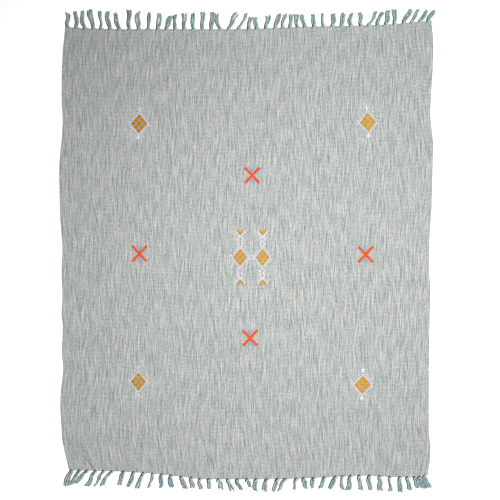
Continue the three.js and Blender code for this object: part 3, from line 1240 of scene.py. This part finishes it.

# Foot of painted shade at each knot, a dark yarn: places to the right of the knot and out from the cloth's
# end
FEET = {
    End.UPPER: ((-8.5, -5.0), (-5.8, -0.5), (-3.8, 4.0), (-2.6, 9.5)),
    End.LOWER: ((7.0, -1.5), (1.5, -4.0), (-3.5, -1.0), (-5.4, 5.0), (-5.6, 10.0)),
}
PULLED_YARNS = {
    End.UPPER: (),
    End.LOWER: (((-575, -719), (-568, -731), (-558, -743), (-547, -757), (-539, -768)),),
}


@dataclass
class Fringe:
    """One knotted fringe: loose warp yarns that run out of the cloth into a knot and on to their tips.

    The yarns of a tassel lie in strands that turn slowly round each other. Beside each strand lies one dark
    yarn whose tone is painted shade. Lengths are in millimetres and turns count full ones.
    """

    end: End
    seed: int
    steps: int = 15
    strand_yarns: int = 4
    yarn_radius: float = 1.45
    tip_radius: float = 0.8
    root_radius: float = 0.9
    ply_radius: float = 1.55
    root_inset: float = 4
    root_share: float = 0.12
    root_height: float = 1
    root_spacing: float = 3.2
    strand_spacing: float = 4.5
    strand_height: float = 2.9
    opening: float = 2.2
    sway: float = 2.6
    snake: float = 2.4
    braid_width: float = 1.5
    braid_turns: Point = (0.3, 0.9)
    braid_step: float = 2.1
    twist_turns: Point = (1.4, 2.4)
    crimp: float = 0.5
    crimp_turns: float = 2.5
    tip_spread: float = 0.6
    strand_short: float = 3.5
    yarn_short: float = 2.2
    uneven: float = 0.15
    knot_reach: float = 4.6
    knot_half_width: float = 3.1
    knot_half_height: float = 1.7
    knot_length: float = 4
    knot_slant: float = 0.9
    knot_turns: float = 2.2
    knot_turn_steps: int = 10
    knot_yarn_radius: float = 1.25
    foot_height: float = 3.9
    pulled_radius: float = 1.15

    def build(
        self,
        name: str,
        plan: ClothPlan,
        shift: Point,
        tassels: list[Tassel],
        tree: SpunYarns,
        material: Material,
    ) -> Object:
        """Makes the fringe.

        Args:
            name: Its name.
            plan: Plan of the cloth that it hangs from.
            shift: How far the frame stands from the plan.
            tassels: Its tassels.
            tree: Tree that spins the yarns.
            material: Their finish.

        Returns:
            The fringe.
        """
        rng = np.random.default_rng(self.seed)
        lines: list[YarnLine] = []
        for tassel in tassels:
            lines += self._tassel(tassel, rng)
            lines.append(self._knot(tassel, rng))
            lines += self._feet(tassel, rng)
        lines += self._pulled(plan)
        offset = np.array([*shift, 0])
        piece = yarn_lines(name, [YarnLine(line.path + offset, line.thick, line.tone) for line in lines])
        tree.apply(piece, {"Material": material, "Sides": 5})
        return piece

    def _tassel(self, tassel: Tassel, rng: np.random.Generator) -> list[YarnLine]:
        """Yarns of one tassel."""
        side = self.end.value
        t = np.linspace(0, 1, self.steps)
        run = np.clip((t - self.root_share) / (1 - self.root_share), 0, 1)
        opened = np.clip(run * self.opening, 0, 1) ** 0.8
        sway = rng.uniform(-1, 1) * self.sway + tassel.bow
        snake = rng.uniform(-1, 1) * self.snake
        braid = rng.uniform(0, math.tau)
        braid_turns = rng.uniform(*self.braid_turns)
        middle = tassel.root[0] + (tassel.tip[0] - tassel.root[0]) * run**0.9
        middle += sway * np.sin(math.pi * run) + snake * np.sin(math.tau * run)
        loose = self.ply_radius * (0.6 + 0.4 * opened + 0.5 * run**3)
        start = tassel.root[1] - side * self.root_inset
        lines = []
        for strand in range(tassel.strands):
            share = strand - (tassel.strands - 1) / 2
            turn = rng.uniform(0, math.tau)
            twist = rng.uniform(*self.twist_turns)
            short = abs(rng.normal(0, self.strand_short))
            spread = share * self.strand_spacing + rng.normal(0, self.tip_spread)
            dye = float(rng.choice(STRAND_DYES[0], p=STRAND_DYES[1]))
            wave = np.cos(braid + strand * self.braid_step + math.tau * braid_turns * run)
            aside = share * self.root_spacing * (1 - opened) + (spread + self.braid_width * wave) * opened
            yarns = []
            for yarn in range(self.strand_yarns):
                tip = tassel.tip[1] - side * (short + abs(rng.normal(0, self.yarn_short)))
                angle = turn + math.tau * (yarn / self.strand_yarns + twist * t)
                crimp = np.sin(math.tau * self.crimp_turns * run + rng.uniform(0, math.tau))
                x = middle + aside + loose * np.cos(angle) + self.crimp * crimp
                y = start + (tip - start) * t
                z = self.strand_height - 0.6 * run + 0.75 * loose * np.sin(angle)
                z = np.where(t < 0.09, self.root_height, np.maximum(z, self.yarn_radius))
                thick = np.full(self.steps, self.yarn_radius)
                thick[:2] = self.root_radius
                thick[-2:] = (self.yarn_radius * 0.9, self.tip_radius)
                tone = dye + float(rng.normal(0, self.uneven))
                yarns.append(YarnLine(np.stack([x, y, z], -1), thick, tone))
            lines += yarns
            # a dark yarn of painted shade beside the strand
            lines.append(self._shaded(yarns, NEXT_SHADED if strand else FIRST_SHADED))
        return lines

    def _shaded(self, yarns: list[YarnLine], look: ShadedYarn) -> YarnLine:
        """The dark yarn on the left of a strand's others, whose tone is painted shade. A tassel's first one
        is the thickest.
        """
        path = np.mean([line.path for line in yarns], axis=0)
        path[2:, 0] -= look.aside
        path[2:, 2] = np.maximum(path[2:, 2] + look.rise, 1.5)
        thick = yarns[0].thick * look.thickness
        thick[:2] = self.root_radius
        return YarnLine(path, thick, look.tone)

    def _knot(self, tassel: Tassel, rng: np.random.Generator) -> YarnLine:
        """The yarn that is wound round a tassel as its knot."""
        side = self.end.value
        t = np.linspace(0, 1, int(self.knot_turns * self.knot_turn_steps) + 1)
        angle = math.tau * self.knot_turns * t + rng.uniform(0, math.tau)
        swell = 0.8 + 0.25 * np.sin(math.pi * t)
        x = tassel.root[0] + self.knot_half_width * swell * np.cos(angle)
        out = self.knot_reach + self.knot_length * (t - 0.5) + self.knot_slant * np.sin(angle)
        y = tassel.root[1] + side * out
        z = self.knot_half_height * (1 + swell * np.sin(angle)) + self.knot_yarn_radius + 0.3
        tone = float(rng.choice(KNOT_DYES[0], p=KNOT_DYES[1]))
        return YarnLine(np.stack([x, y, z], -1), np.full(len(t), self.knot_yarn_radius), tone)

    def _feet(self, tassel: Tassel, rng: np.random.Generator) -> list[YarnLine]:
        """Yarns that run from the cloth into the knot: a dark one on the left, whose tone is painted shade,
        and two on the right.
        """
        # painted shade: a near-black yarn at the knot's left
        shaded = self._foot(tassel, FEET[self.end], rng.uniform(0.85, 1.15), 1.9, -0.9)
        reach = rng.uniform(8, 17)
        rise = rng.uniform(4, 8)
        pale = ((1.0, 5.0), (3.4, 1.0), (0.5 * reach, -0.45 * rise), (reach, -rise))
        blue = ((2.6, 6.0), (5.0, 1.6), (3 + 0.5 * reach, -0.3 * rise), (2 + reach, -0.7 * rise))
        blue_tone = float(rng.choice(FOOT_DYES))
        return [
            shaded,
            self._foot(tassel, pale, 1.0, 1.8, 1.25),
            self._foot(tassel, blue, 1.0, 1.6, blue_tone),
        ]

    def _foot(self, tassel: Tassel, line: Table, size: float, radius: float, tone: float) -> YarnLine:
        """One such yarn.

        Args:
            tassel: Its tassel.
            line: Points to the right of the knot's place and out from the cloth's end.
            size: Size of the line.
            radius: Radius of the yarn in its middle.
            tone: Its tone.

        Returns:
            The yarn's line.
        """
        (right, out), share = stepped(line, 3)
        x = tassel.root[0] + size * right
        y = tassel.root[1] + self.end.value * size * out
        thick = radius * (0.55 + 0.45 * np.sin(math.pi * share))
        return YarnLine(np.stack([x, y, np.full(len(x), self.foot_height)], -1), thick, tone)

    def _pulled(self, plan: ClothPlan) -> list[YarnLine]:
        """The warp yarns that a knot has pulled out of the cloth's face at this end."""
        lines = []
        for line in PULLED_YARNS[self.end]:
            (x, y), share = stepped(line, 4)
            z = plan.lift(x, y) + plan.thickness + 1.2
            thick = self.pulled_radius * np.sin(math.pi * (0.12 + 0.76 * share))
            lines.append(YarnLine(np.stack([x, y, z], -1), thick, -0.35))
        return lines


def stepped(line: Table, steps: int) -> tuple[np.ndarray, np.ndarray]:
    """Divides a line into short steps.

    Args:
        line: Its points.
        steps: Steps for each point.

    Returns:
        x and y of each step, and its share of the line.
    """
    places = np.linspace(0, len(line) - 1, steps * len(line))
    numbers = np.arange(len(line))
    return np.array([np.interp(places, numbers, column) for column in zip(*line)]), places / places[-1]


def yarn_lines(name: str, lines: Sequence[YarnLine]) -> Object:
    """Makes one mesh of open lines, ready to be spun into yarns.

    Args:
        name: Name of the object.
        lines: Line of each yarn.

    Returns:
        The object.
    """
    edges: list[tuple[int, int]] = []
    start = 0
    for line in lines:
        edges += [(start + i, start + i + 1) for i in range(len(line.path) - 1)]
        start += len(line.path)
    piece = mesh_object(name, np.vstack([line.path for line in lines]), edges=edges)
    store(piece, "thick", np.concatenate([line.thick for line in lines]) * MM)
    store(piece, "tone", np.concatenate([np.full(len(line.path), line.tone) for line in lines]))
    return piece


@dataclass
class SelvedgeYarns:
    """The outermost warp yarn of each selvedge, a little thicker than the rest, its darker tone painted
    shade.
    """

    plan: ClothPlan
    radius: float = 1.2
    pitch: float = 9
    height: float = 1.5
    wander: float = 0.5
    inset: float = 0.3
    # painted shade
    tone: float = -0.8

    def build(self, shift: Point, tree: SpunYarns, material: Material) -> Object:
        """Makes both yarns as one piece.

        Args:
            shift: How far the frame stands from the plan.
            tree: Tree that spins them.
            material: Their finish.

        Returns:
            The piece.
        """
        along = np.linspace(0.001, 0.999, round(2 * self.plan.half_length / self.pitch))
        lines = []
        weave = []
        for across, side, seed in ((0.0, -1, 21), (1.0, 1, 22)):
            x, y = self.plan.point(np.full(len(along), across), along)
            out = self.wander * soft_field(seed, x, y, (400, 34)) - self.inset
            x = x + side * out
            z = self.height + self.plan.lift(x, y)
            path = np.stack([x + shift[0], y + shift[1], z], -1)
            lines.append(YarnLine(path, np.full(len(along), self.radius), self.tone))
            flat_y = (along - 0.5) * 2 * self.plan.half_length * MM
            weave.append(np.stack([0 * x + across, flat_y, 0 * x], -1))
        piece = yarn_lines("selvedge_yarns", lines)
        store(piece, "weave", np.vstack(weave))
        tree.apply(piece, {"Material": material})
        return piece


# Embroidery


@dataclass(frozen=True)
class Cord:
    """Look of a line that is worked as a row of short slanting stitches side by side.

    Attributes:
        width: Width of the line.
        tone: Tone of the floss.
        slant: Slant of the stitches from the line, in degrees.
        pitch: Distance from stitch to stitch along the line.
        raised: How far the stitches stand over the cloth.
        fill: Width of a stitch as a share of the pitch.
        high: Full height of a stitch.
    """

    width: float
    tone: float
    slant: float = 32
    pitch: float = 1.7
    raised: float = 0.45
    fill: float = 1.2
    high: float = 1.7


@dataclass(frozen=True)
class Spot:
    """Where a figure is worked: its centre in the plan, and its turn and its lean in degrees."""

    x: float
    y: float
    turn: float = 0
    lean: float = 0

    def at(self, u: float, v: float) -> Point:
        """Plan place of a point of the figure, u across and v along from its centre."""
        angle = math.radians(self.turn)
        u = u + v * math.tan(math.radians(self.lean))
        return (
            self.x + u * math.cos(angle) - v * math.sin(angle),
            self.y + u * math.sin(angle) + v * math.cos(angle),
        )

    def ray(self, foot: Point, angle: float, near: float, far: float) -> tuple[Point, Point]:
        """Both ends of a stitch that points away from a foot of the figure."""
        du, dv = math.cos(angle), math.sin(angle)
        start = self.at(foot[0] + near * du, foot[1] + near * dv)
        return start, self.at(foot[0] + far * du, foot[1] + far * dv)


@dataclass
class Embroidery:
    """The three flosses, cloth-coloured threads of painted shade beside the stitches, and the ways of working
    that all figures share.
    """

    gold: Threads
    lilac: Threads
    orange: Threads
    # cloth-coloured threads of painted shade by the stitches; the slubs are added to them later
    drawn: Threads
    whisker: Stitch = Stitch(3.4, 1.8, 1.0, 0.4)
    # painted shade: a cloth-coloured thread of very dark tone
    painted_shade_gap: Stitch = Stitch(3.6, 1.4, -5, 0.1)

    @staticmethod
    def filled(
        threads: Threads,
        spot: Spot,
        centre: Point,
        half: Point,
        shape: Callable[[float], float],
        pitch: float,
        tone: float,
    ) -> None:
        """Fills a small shape with stitches side by side across it.

        Args:
            threads: Floss to work it in.
            spot: Where the figure is.
            centre: Middle of the shape in the figure.
            half: Half its width and height.
            shape: Share of the half width at a share of the half height from 0 to 1.
            pitch: Distance from stitch to stitch.
            tone: Tone of the floss.
        """
        look = Stitch(pitch * 1.15, 1.9, tone, 0.35)
        count = max(2, round(2 * half[1] / pitch))
        for i in range(count):
            v = (i + 0.5) / count * 2 - 1
            reach = half[0] * shape(abs(v)) + 0.5
            y = centre[1] + v * half[1]
            threads.lay(spot.at(centre[0] - reach, y), spot.at(centre[0] + reach, y + 0.5), look)

    @staticmethod
    def corded(threads: Threads, spot: Spot, line: Sequence[Point], cord: Cord) -> None:
        """Works a line as a row of short slanting stitches laid side by side.

        Args:
            threads: Floss to work it in.
            spot: Where the figure is.
            line: Points of the line in the figure.
            cord: Look of the line.
        """
        look = Stitch(cord.pitch * cord.fill, cord.high, cord.tone, cord.raised)
        slant = math.radians(cord.slant)
        reach = cord.width / 2 / max(0.35, abs(math.sin(slant)))
        for a, b in zip(line, line[1:]):
            count = max(1, round(math.dist(a, b) / cord.pitch))
            angle = math.atan2(b[1] - a[1], b[0] - a[0]) + slant
            for i in range(count):
                threads.lay(*spot.ray(between(a, b, (i + 0.5) / count), angle, -reach, reach), look)

    def whiskers(
        self, spot: Spot, a: Point, b: Point, count: int, length: float, out: float, tone: float
    ) -> None:
        """Works short straight stitches that stand out from a line, with a dark cloth-coloured thread of
        painted shade beside each.

        Args:
            spot: Where the figure is.
            a: Start of the line.
            b: End of the line.
            count: Number of stitches.
            length: Length of each.
            out: 1 where they stand out on the line's left side and -1 on its right side.
            tone: Tone of the floss.
        """
        angle = math.atan2(b[1] - a[1], b[0] - a[0]) + out * math.pi / 2
        look = replace(self.whisker, tone=tone)
        for i in range(count):
            share = (i + 0.7) / (count + 0.4)
            reach = length * (0.85 + 0.3 * self.lilac.rng.random())
            tilt = angle + self.lilac.rng.normal(0, 0.07)
            self.lilac.lay(*spot.ray(between(a, b, share), tilt, 1.2, reach), look)
            # painted shade between this whisker and the next
            beside = between(a, b, share + 0.5 / count)
            self.drawn.lay(*spot.ray(beside, tilt, 2.6, 0.95 * reach), self.painted_shade_gap)


@dataclass(frozen=True)
class LozengeChart:
    """Lozenge of nine leaf-shaped gold cells in a lilac lattice and outline, with whiskers all round.

    Attributes:
        half_width: Half the width to the middle of the outline.
        half_height: Half the height to the middle of the outline.
        gold_tone: Tone of the gold floss.
        whisker: Length of the whiskers.
        whisker_tone: Tone of the whiskers.
        side_whiskers: Number of whiskers on each side.
        outline: Look of the outline.
        inner: Look of the thin blue line inside it.
        inner_share: Size of that line as a share of the outline's.
        lattice: Look of the lattice.
        crossing: Stitch where two lines of the lattice cross.
        spur: Stitch at the two side corners.
        cell: Size of a gold cell as shares of the lattice's steps.
    """

    half_width: float
    half_height: float
    gold_tone: float
    whisker: float = 11.8
    whisker_tone: float = 0.98
    side_whiskers: int = 6
    outline: Cord = Cord(3.3, 0.85)
    inner: Cord = Cord(1.8, 0.06, raised=0.6)
    inner_share: float = 0.94
    lattice: Cord = Cord(1.5, 0.1, raised=0.6)
    crossing: Stitch = Stitch(3.4, 1.7, 0.04, 0.8)
    spur: Stitch = Stitch(2.6, 1.6, 0.85, 0.3)
    cell: Point = (0.87, 1.03)

    def work(self, cloth: Embroidery, spot: Spot) -> None:
        """Works the figure at a spot."""
        step_u, step_v = self.half_width / 3, self.half_height / 3
        half = (step_u * self.cell[0], step_v * self.cell[1])
        for i in range(3):
            for j in range(3):
                cloth.filled(cloth.gold, spot, self._cell(i, j), half, leaf, 1.25, self.gold_tone)
        for k in (0.5, 1.5):
            cloth.corded(cloth.lilac, spot, (self._cell(k, -0.5), self._cell(k, 2.5)), self.lattice)
            cloth.corded(cloth.lilac, spot, (self._cell(-0.5, k), self._cell(2.5, k)), self.lattice)
        for u, v in ((step_u, 0), (-step_u, 0), (0, step_v), (0, -step_v)):
            cloth.lilac.lay(spot.at(u, v - 2.4), spot.at(u, v + 2.4), self.crossing)
        wide, high = self.half_width, self.half_height
        for a, b in sides_of([(0, high), (wide, 0), (0, -high), (-wide, 0)]):
            inner = [(u * self.inner_share, v * self.inner_share) for u, v in (a, b)]
            cloth.corded(cloth.lilac, spot, inner, self.inner)
            cloth.corded(cloth.lilac, spot, (a, b), self.outline)
            cloth.whiskers(spot, a, b, self.side_whiskers, self.whisker, 1, self.whisker_tone)
        for hand in (-1, 1):
            for rise in (-1, 1):
                near = spot.at(hand * (wide + 1), rise * 1.2)
                far = spot.at(hand * (wide + 8.5), rise * 7)
                cloth.lilac.lay(near, far, self.spur)

    def _cell(self, i: float, j: float) -> Point:
        """Middle of a cell, counted along both directions of the lattice."""
        return ((i - j) * self.half_width / 3, (i + j - 2) * self.half_height / 3)


def leaf(share: float) -> float:
    """Half width of a pointed leaf at a share of its half height."""
    return (1 - share) ** 0.75 * (1 + 0.4 * share)


def diamond(share: float) -> float:
    """Half width of a lozenge with full sides at a share of its half height."""
    return (1 - share) ** 0.75


@dataclass(frozen=True)
class CornerFigure:
    """Lozenge near a corner of the throw, with a small solid lozenge above it and one below.

    Attributes:
        spot: Where it is.
        chart: Its lozenge.
        above: Place along, half width and half height of the small lozenge above.
        below: The same of the one below.
        knob_tone: Tone of both.
    """

    spot: Spot
    chart: LozengeChart
    above: tuple[float, float, float]
    below: tuple[float, float, float]
    knob_tone: float = 0.9

    def work(self, cloth: Embroidery) -> None:
        """Works the figure."""
        self.chart.work(cloth, self.spot)
        for v, *half in (self.above, self.below):
            cloth.filled(cloth.lilac, self.spot, (0, v), half, diamond, 1.3, self.knob_tone)

    def clear(self) -> KeepClear:
        """Area that the stitches cover."""
        return KeepClear(self.spot.x, self.spot.y, self.chart.half_width + 10, self.chart.half_height + 40)


@dataclass(frozen=True)
class ColumnFigure:
    """Lozenge in the middle of the throw, with two rings and a cup above it, and the same below.

    Each ring and cup is a lilac line, with a small gold V in the cup.
    """

    spot: Spot
    chart: LozengeChart
    chain: tuple[Point, ...] = ((0, 37), (9, 47), (3.2, 55.5), (9, 64), (0, 73.5))
    chain_cord: Cord = Cord(2.9, 0.9)
    cup: Point = (17.5, 92.5)
    cup_cord: Cord = Cord(2.8, 0.85)
    cup_whiskers: int = 4
    whisker: float = 9.2
    whisker_tone: float = 0.97
    gold_tip: float = 80.5
    gold_end: Point = (10, 95.5)
    gold_cord: Cord = Cord(7.4, 0.36, slant=60, pitch=1.4, raised=0.8)
    between_gold: Stitch = Stitch(1.5, 1.2, 0.1, 0.1)

    def work(self, cloth: Embroidery) -> None:
        """Works the figure."""
        self.chart.work(cloth, self.spot)
        for rise in (1, -1):
            for hand in (1, -1):
                self._half(cloth, hand, rise)
            for i in (-1, 0, 1):
                near = self.spot.at(3 * i, rise * (self.gold_end[1] - 4.5 + abs(i)))
                far = self.spot.at(3.9 * i, rise * (self.gold_end[1] + 1.5))
                cloth.lilac.lay(near, far, self.between_gold)

    def _half(self, cloth: Embroidery, hand: int, rise: int) -> None:
        """Works one side of the rings and of the cup."""
        chain = [(hand * u, rise * v) for u, v in self.chain]
        cloth.corded(cloth.lilac, self.spot, rounded(chain), self.chain_cord)
        foot = (0, rise * self.chain[-1][1])
        arm = (hand * self.cup[0], rise * self.cup[1])
        cloth.corded(cloth.lilac, self.spot, (foot, arm), self.cup_cord)
        side = -hand * rise
        cloth.whiskers(self.spot, foot, arm, self.cup_whiskers, self.whisker, side, self.whisker_tone)
        gold = ((0, rise * self.gold_tip), (hand * self.gold_end[0], rise * self.gold_end[1]))
        cloth.corded(cloth.gold, self.spot, gold, self.gold_cord)


@dataclass(frozen=True)
class OpenDiamond:
    """Small diamond in outline that joins the two columns."""

    spot: Spot
    half_width: float = 9.8
    half_height: float = 6.8
    outline: Cord = Cord(1.9, 0.85)
    painted_shade_gap: Stitch = Stitch(4.5, 1.2, -5, 0)

    def work(self, cloth: Embroidery) -> None:
        """Works the figure."""
        wide, high = self.half_width, self.half_height
        for side in sides_of([(wide, 0), (0, high), (-wide, 0), (0, -high)]):
            cloth.corded(cloth.lilac, self.spot, side, self.outline)
        # painted shade: a dark cloth-coloured thread in the diamond's middle
        cloth.drawn.lay(self.spot.at(0, -2.5), self.spot.at(0, 2.5), self.painted_shade_gap)


@dataclass(frozen=True)
class CrossFigure:
    """Cross of two orange arms, each of two rows of slanting stitches, over a fan of lilac stitches.

    The rows towards a fan are close, and those on the other side are spaced and paler. The outer stitches of
    a fan are the palest blue.
    """

    spot: Spot
    reach: Point = (25.0, 26.0)
    close_row: Cord = Cord(5.0, 0.35, slant=48, pitch=1.9, raised=0.7)
    spaced_row: Cord = Cord(5.0, 0.62, slant=62, pitch=3.0, raised=0.5, fill=0.98)
    tip: Stitch = Stitch(2.9, 1.9, 0.2, 0.8)
    fan: int = 7
    fan_half_width: float = 17.5
    fan_stitch: Stitch = Stitch(2.2, 1.4, 0.27, 0.2)
    fan_edge: Stitch = Stitch(3.2, 1.4, 0.0, 0.2)
    fan_foot: Stitch = Stitch(3.6, 1.5, -0.05, 0.4)

    def work(self, cloth: Embroidery) -> None:
        """Works the figure."""
        for rise in (1, -1):
            self._fan(cloth, rise)
        for hand in (1, -1):
            start = (-hand * self.reach[0], -self.reach[1])
            end = (hand * self.reach[0], self.reach[1])
            for row in (1, -1):
                self._row(cloth, start, (0.0, 0.0), row, is_close=row * hand < 0)
                self._row(cloth, (0.0, 0.0), end, row, is_close=row * hand > 0)
                angle = math.atan2(end[1] - start[1], end[0] - start[0])
                out = row * (self.close_row.width / 2 + 0.6)
                for (u, v), way in ((start, -1), (end, 1)):
                    foot = (u - out * math.sin(angle), v + out * math.cos(angle))
                    cloth.orange.lay(*self.spot.ray(foot, angle, -3 * way, 3 * way), self.tip)

    def _row(self, cloth: Embroidery, start: Point, end: Point, row: int, is_close: bool) -> None:
        """Works one row of half an arm, on its left side where row is 1 and on its right where it is -1."""
        cord = self.close_row if is_close else self.spaced_row
        angle = math.atan2(end[1] - start[1], end[0] - start[0])
        out = row * cord.width / 2
        line = [(u - out * math.sin(angle), v + out * math.cos(angle)) for u, v in (start, end)]
        cloth.corded(cloth.orange, self.spot, line, replace(cord, slant=-row * cord.slant))

    def _fan(self, cloth: Embroidery, rise: int) -> None:
        """Works the stitches that fan out between two arms."""
        for i in range(self.fan):
            share = i / (self.fan - 1) * 2 - 1
            is_edge = i in (0, self.fan - 1)
            near = self.spot.at(share * 3, rise * (9 if is_edge else 12))
            far = self.spot.at(share * self.fan_half_width, rise * (self.reach[1] + 4 + 1.5 * (i % 2)))
            cloth.lilac.lay(near, far, self.fan_edge if is_edge else self.fan_stitch)
        cloth.lilac.lay(self.spot.at(0, rise * 9), self.spot.at(0, rise * 14), self.fan_foot)

    def clear(self) -> KeepClear:
        """Area that the stitches cover."""
        return KeepClear(self.spot.x, self.spot.y, self.reach[0] + 8, self.reach[1] + 26)


CORNERS = (
    CornerFigure(
        Spot(-380.9, 446.3, lean=2.5),
        LozengeChart(32.0, 38.0, gold_tone=0.2, whisker_tone=0.9),
        above=(49.6, 7.0, 10.4),
        below=(-47.9, 9.4, 9.8),
        knob_tone=0.84,
    ),
    CornerFigure(
        Spot(424.2, 451.5, turn=3.9),
        LozengeChart(31.2, 37.5, gold_tone=0.5),
        above=(50.3, 8.8, 10.4),
        below=(-48.2, 9.4, 10),
    ),
    CornerFigure(
        Spot(-383.3, -461.5),
        LozengeChart(29.6, 36.0, gold_tone=0.3, whisker_tone=0.85),
        above=(47.5, 7.0, 9.2),
        below=(-46.5, 7.6, 10),
        knob_tone=0.78,
    ),
    CornerFigure(
        Spot(405.8, -472.5, lean=2.7),
        LozengeChart(32.4, 35.7, gold_tone=0.45),
        above=(49.6, 9.4, 9.6),
        below=(-47.2, 8.4, 10),
    ),
)
COLUMN_CHART = LozengeChart(28.0, 34.2, gold_tone=0.4, whisker=9.5, outline=Cord(2.8, 0.85))
COLUMNS = (
    ColumnFigure(Spot(-25.2, -23.6), COLUMN_CHART),
    ColumnFigure(Spot(53.8, -24.3), replace(COLUMN_CHART, half_width=27, half_height=34.4, gold_tone=0.45)),
)
COLUMNS_CLEAR = KeepClear(14, -24, 90, 125)
JOIN = OpenDiamond(Spot(12.7, -24.2))
CROSSES = (
    CrossFigure(Spot(16.9, 264.4)),
    CrossFigure(Spot(-379.8, -11.3)),
    CrossFigure(Spot(416.1, -14.1)),
    CrossFigure(Spot(9.5, -308)),
)


# Studio


@dataclass
class Studio:
    """Pale floor, a soft light and a long lens that looks straight down. Its sizes are in metres.

    Attributes:
        shift: How far the frame stands from the plan, in millimetres.
        centre: Place in the plan under the lens, in millimetres.
        height: Height of the lens.
        view_width: Width of the picture on the floor.
        floor_half: Half the side of the floor.
        floor_drop: How far the floor lies under the throw.
        floor_glow: Glow that keeps the floor pale where the light falls off.
        key_place: Place of the light.
        key_aim: Place that it points at.
        key_size: Its side.
        key_power: Its power.
        sky: Strength of the even light from all round.
    """

    shift: Point
    centre: Point = (9.5, 1.8)
    height: float = 6
    view_width: float = 1.76
    floor_half: float = 40
    floor_drop: float = 0.0004
    floor_glow: float = 0.64
    key_place: tuple[float, float, float] = (-0.16, 0.3, 2.24)
    key_aim: tuple[float, float, float] = (2.5, -1.6, 0)
    key_size: float = 1.2
    key_power: float = 70.4
    sky: float = 0.22

    def build(self) -> None:
        """Sets up the floor, the lights and the camera."""
        self._floor()
        self._key()
        self._world()
        self._camera()
        bpy.context.scene.view_settings.view_transform = "Standard"

    def _camera(self) -> None:
        """Camera over the middle of the photograph."""
        lens = bpy.data.cameras.new("camera")
        lens.sensor_width = 36
        lens.lens = lens.sensor_width * self.height / self.view_width
        camera = bpy.data.objects.new("camera", lens)
        x, y = ((place + shift) * MM for place, shift in zip(self.centre, self.shift))
        camera.location = (x, y, self.height)
        bpy.context.scene.collection.objects.link(camera)
        bpy.context.scene.camera = camera

    def _floor(self) -> None:
        """Matt white paper."""
        half, low = self.floor_half / MM, -self.floor_drop / MM
        points = np.array([(-half, -half, low), (half, -half, low), (half, half, low), (-half, half, low)])
        floor = mesh_object("floor", points, faces=[(0, 1, 2, 3)])
        material = bpy.data.materials.new("matt_white_paper")
        material.use_nodes = True
        sockets = material.node_tree.nodes["Principled BSDF"].inputs
        sockets["Base Color"].default_value = linear("D9D9D9")
        sockets["Roughness"].default_value = 1.0
        sockets["Specular IOR Level"].default_value = 0.0
        sockets["Emission Color"].default_value = (1, 1, 1, 1)
        sockets["Emission Strength"].default_value = self.floor_glow
        floor.data.materials.append(material)

    def _key(self) -> None:
        """Square soft light over the throw."""
        data = bpy.data.lights.new("key", "AREA")
        data.size = self.key_size
        data.energy = self.key_power
        light = bpy.data.objects.new("key", data)
        light.location = self.key_place
        aim = Vector(self.key_aim) - Vector(self.key_place)
        light.rotation_euler = aim.to_track_quat("-Z", "Y").to_euler()
        bpy.context.scene.collection.objects.link(light)

    def _world(self) -> None:
        """Even white light from all round."""
        world = bpy.data.worlds.new("studio")
        world.use_nodes = True
        sockets = world.node_tree.nodes["Background"].inputs
        sockets["Color"].default_value = (1, 1, 1, 1)
        sockets["Strength"].default_value = self.sky
        bpy.context.scene.world = world


def main() -> None:
    """Builds the throw round its frame."""
    logging.basicConfig(level=logging.INFO, format="%(message)s")
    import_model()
    plan = ClothPlan()
    shift = plan.shift()
    LOG.info("frame stands %.2f, %.2f mm from the plan", *shift)
    Studio(shift).build()

    cotton = SlubCotton().make()
    yarn = SpunCotton().make()
    laid, spun = LaidThreads(), SpunYarns()
    fringes = {
        End.UPPER: tassel_places(UPPER_TASSELS, plan, End.UPPER),
        End.LOWER: tassel_places(LOWER_TASSELS, plan, End.LOWER, full=(1, 39, 40)),
    }
    cloth = declare(Cloth(plan, shift).build(fringes, cotton))

    upper = Fringe(End.UPPER, seed=31).build("upper_yarns", plan, shift, fringes[End.UPPER], spun, yarn)
    lower = Fringe(End.LOWER, seed=32).build("lower_yarns", plan, shift, fringes[End.LOWER], spun, yarn)
    declare(upper)
    declare(lower)
    selvedges = declare(SelvedgeYarns(plan).build(shift, spun, cotton))

    rng = np.random.default_rng(41)
    work = Embroidery(*(Threads(shift, rng) for _ in range(4)))
    for figure in (*CORNERS, *COLUMNS, JOIN, *CROSSES):
        figure.work(work)
    gold = work.gold.build("gold_stitches", laid, cloth, GOLD_FLOSS.make())
    lilac = work.lilac.build("lilac_stitches", laid, cloth, LILAC_FLOSS.make())
    orange = work.orange.build("orange_stitches", laid, cloth, ORANGE_FLOSS.make())
    declare(gold)
    declare(lilac)
    declare(orange)

    clear = [*(figure.clear() for figure in (*CORNERS, *CROSSES)), COLUMNS_CLEAR]
    # work.drawn already holds the threads of painted shade; the slubs join them in one piece
    scattered = Slubs(plan).gather(work.drawn, clear)
    slubs = scattered.build("warp_slubs", laid, cloth, cotton, Taper=2.0, Sides=5, Rings=6)
    declare(slubs)

    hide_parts("throw_cloth")
    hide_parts("fringe_upper")
    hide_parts("fringe_lower")


if __name__ == "__main__":
    main()
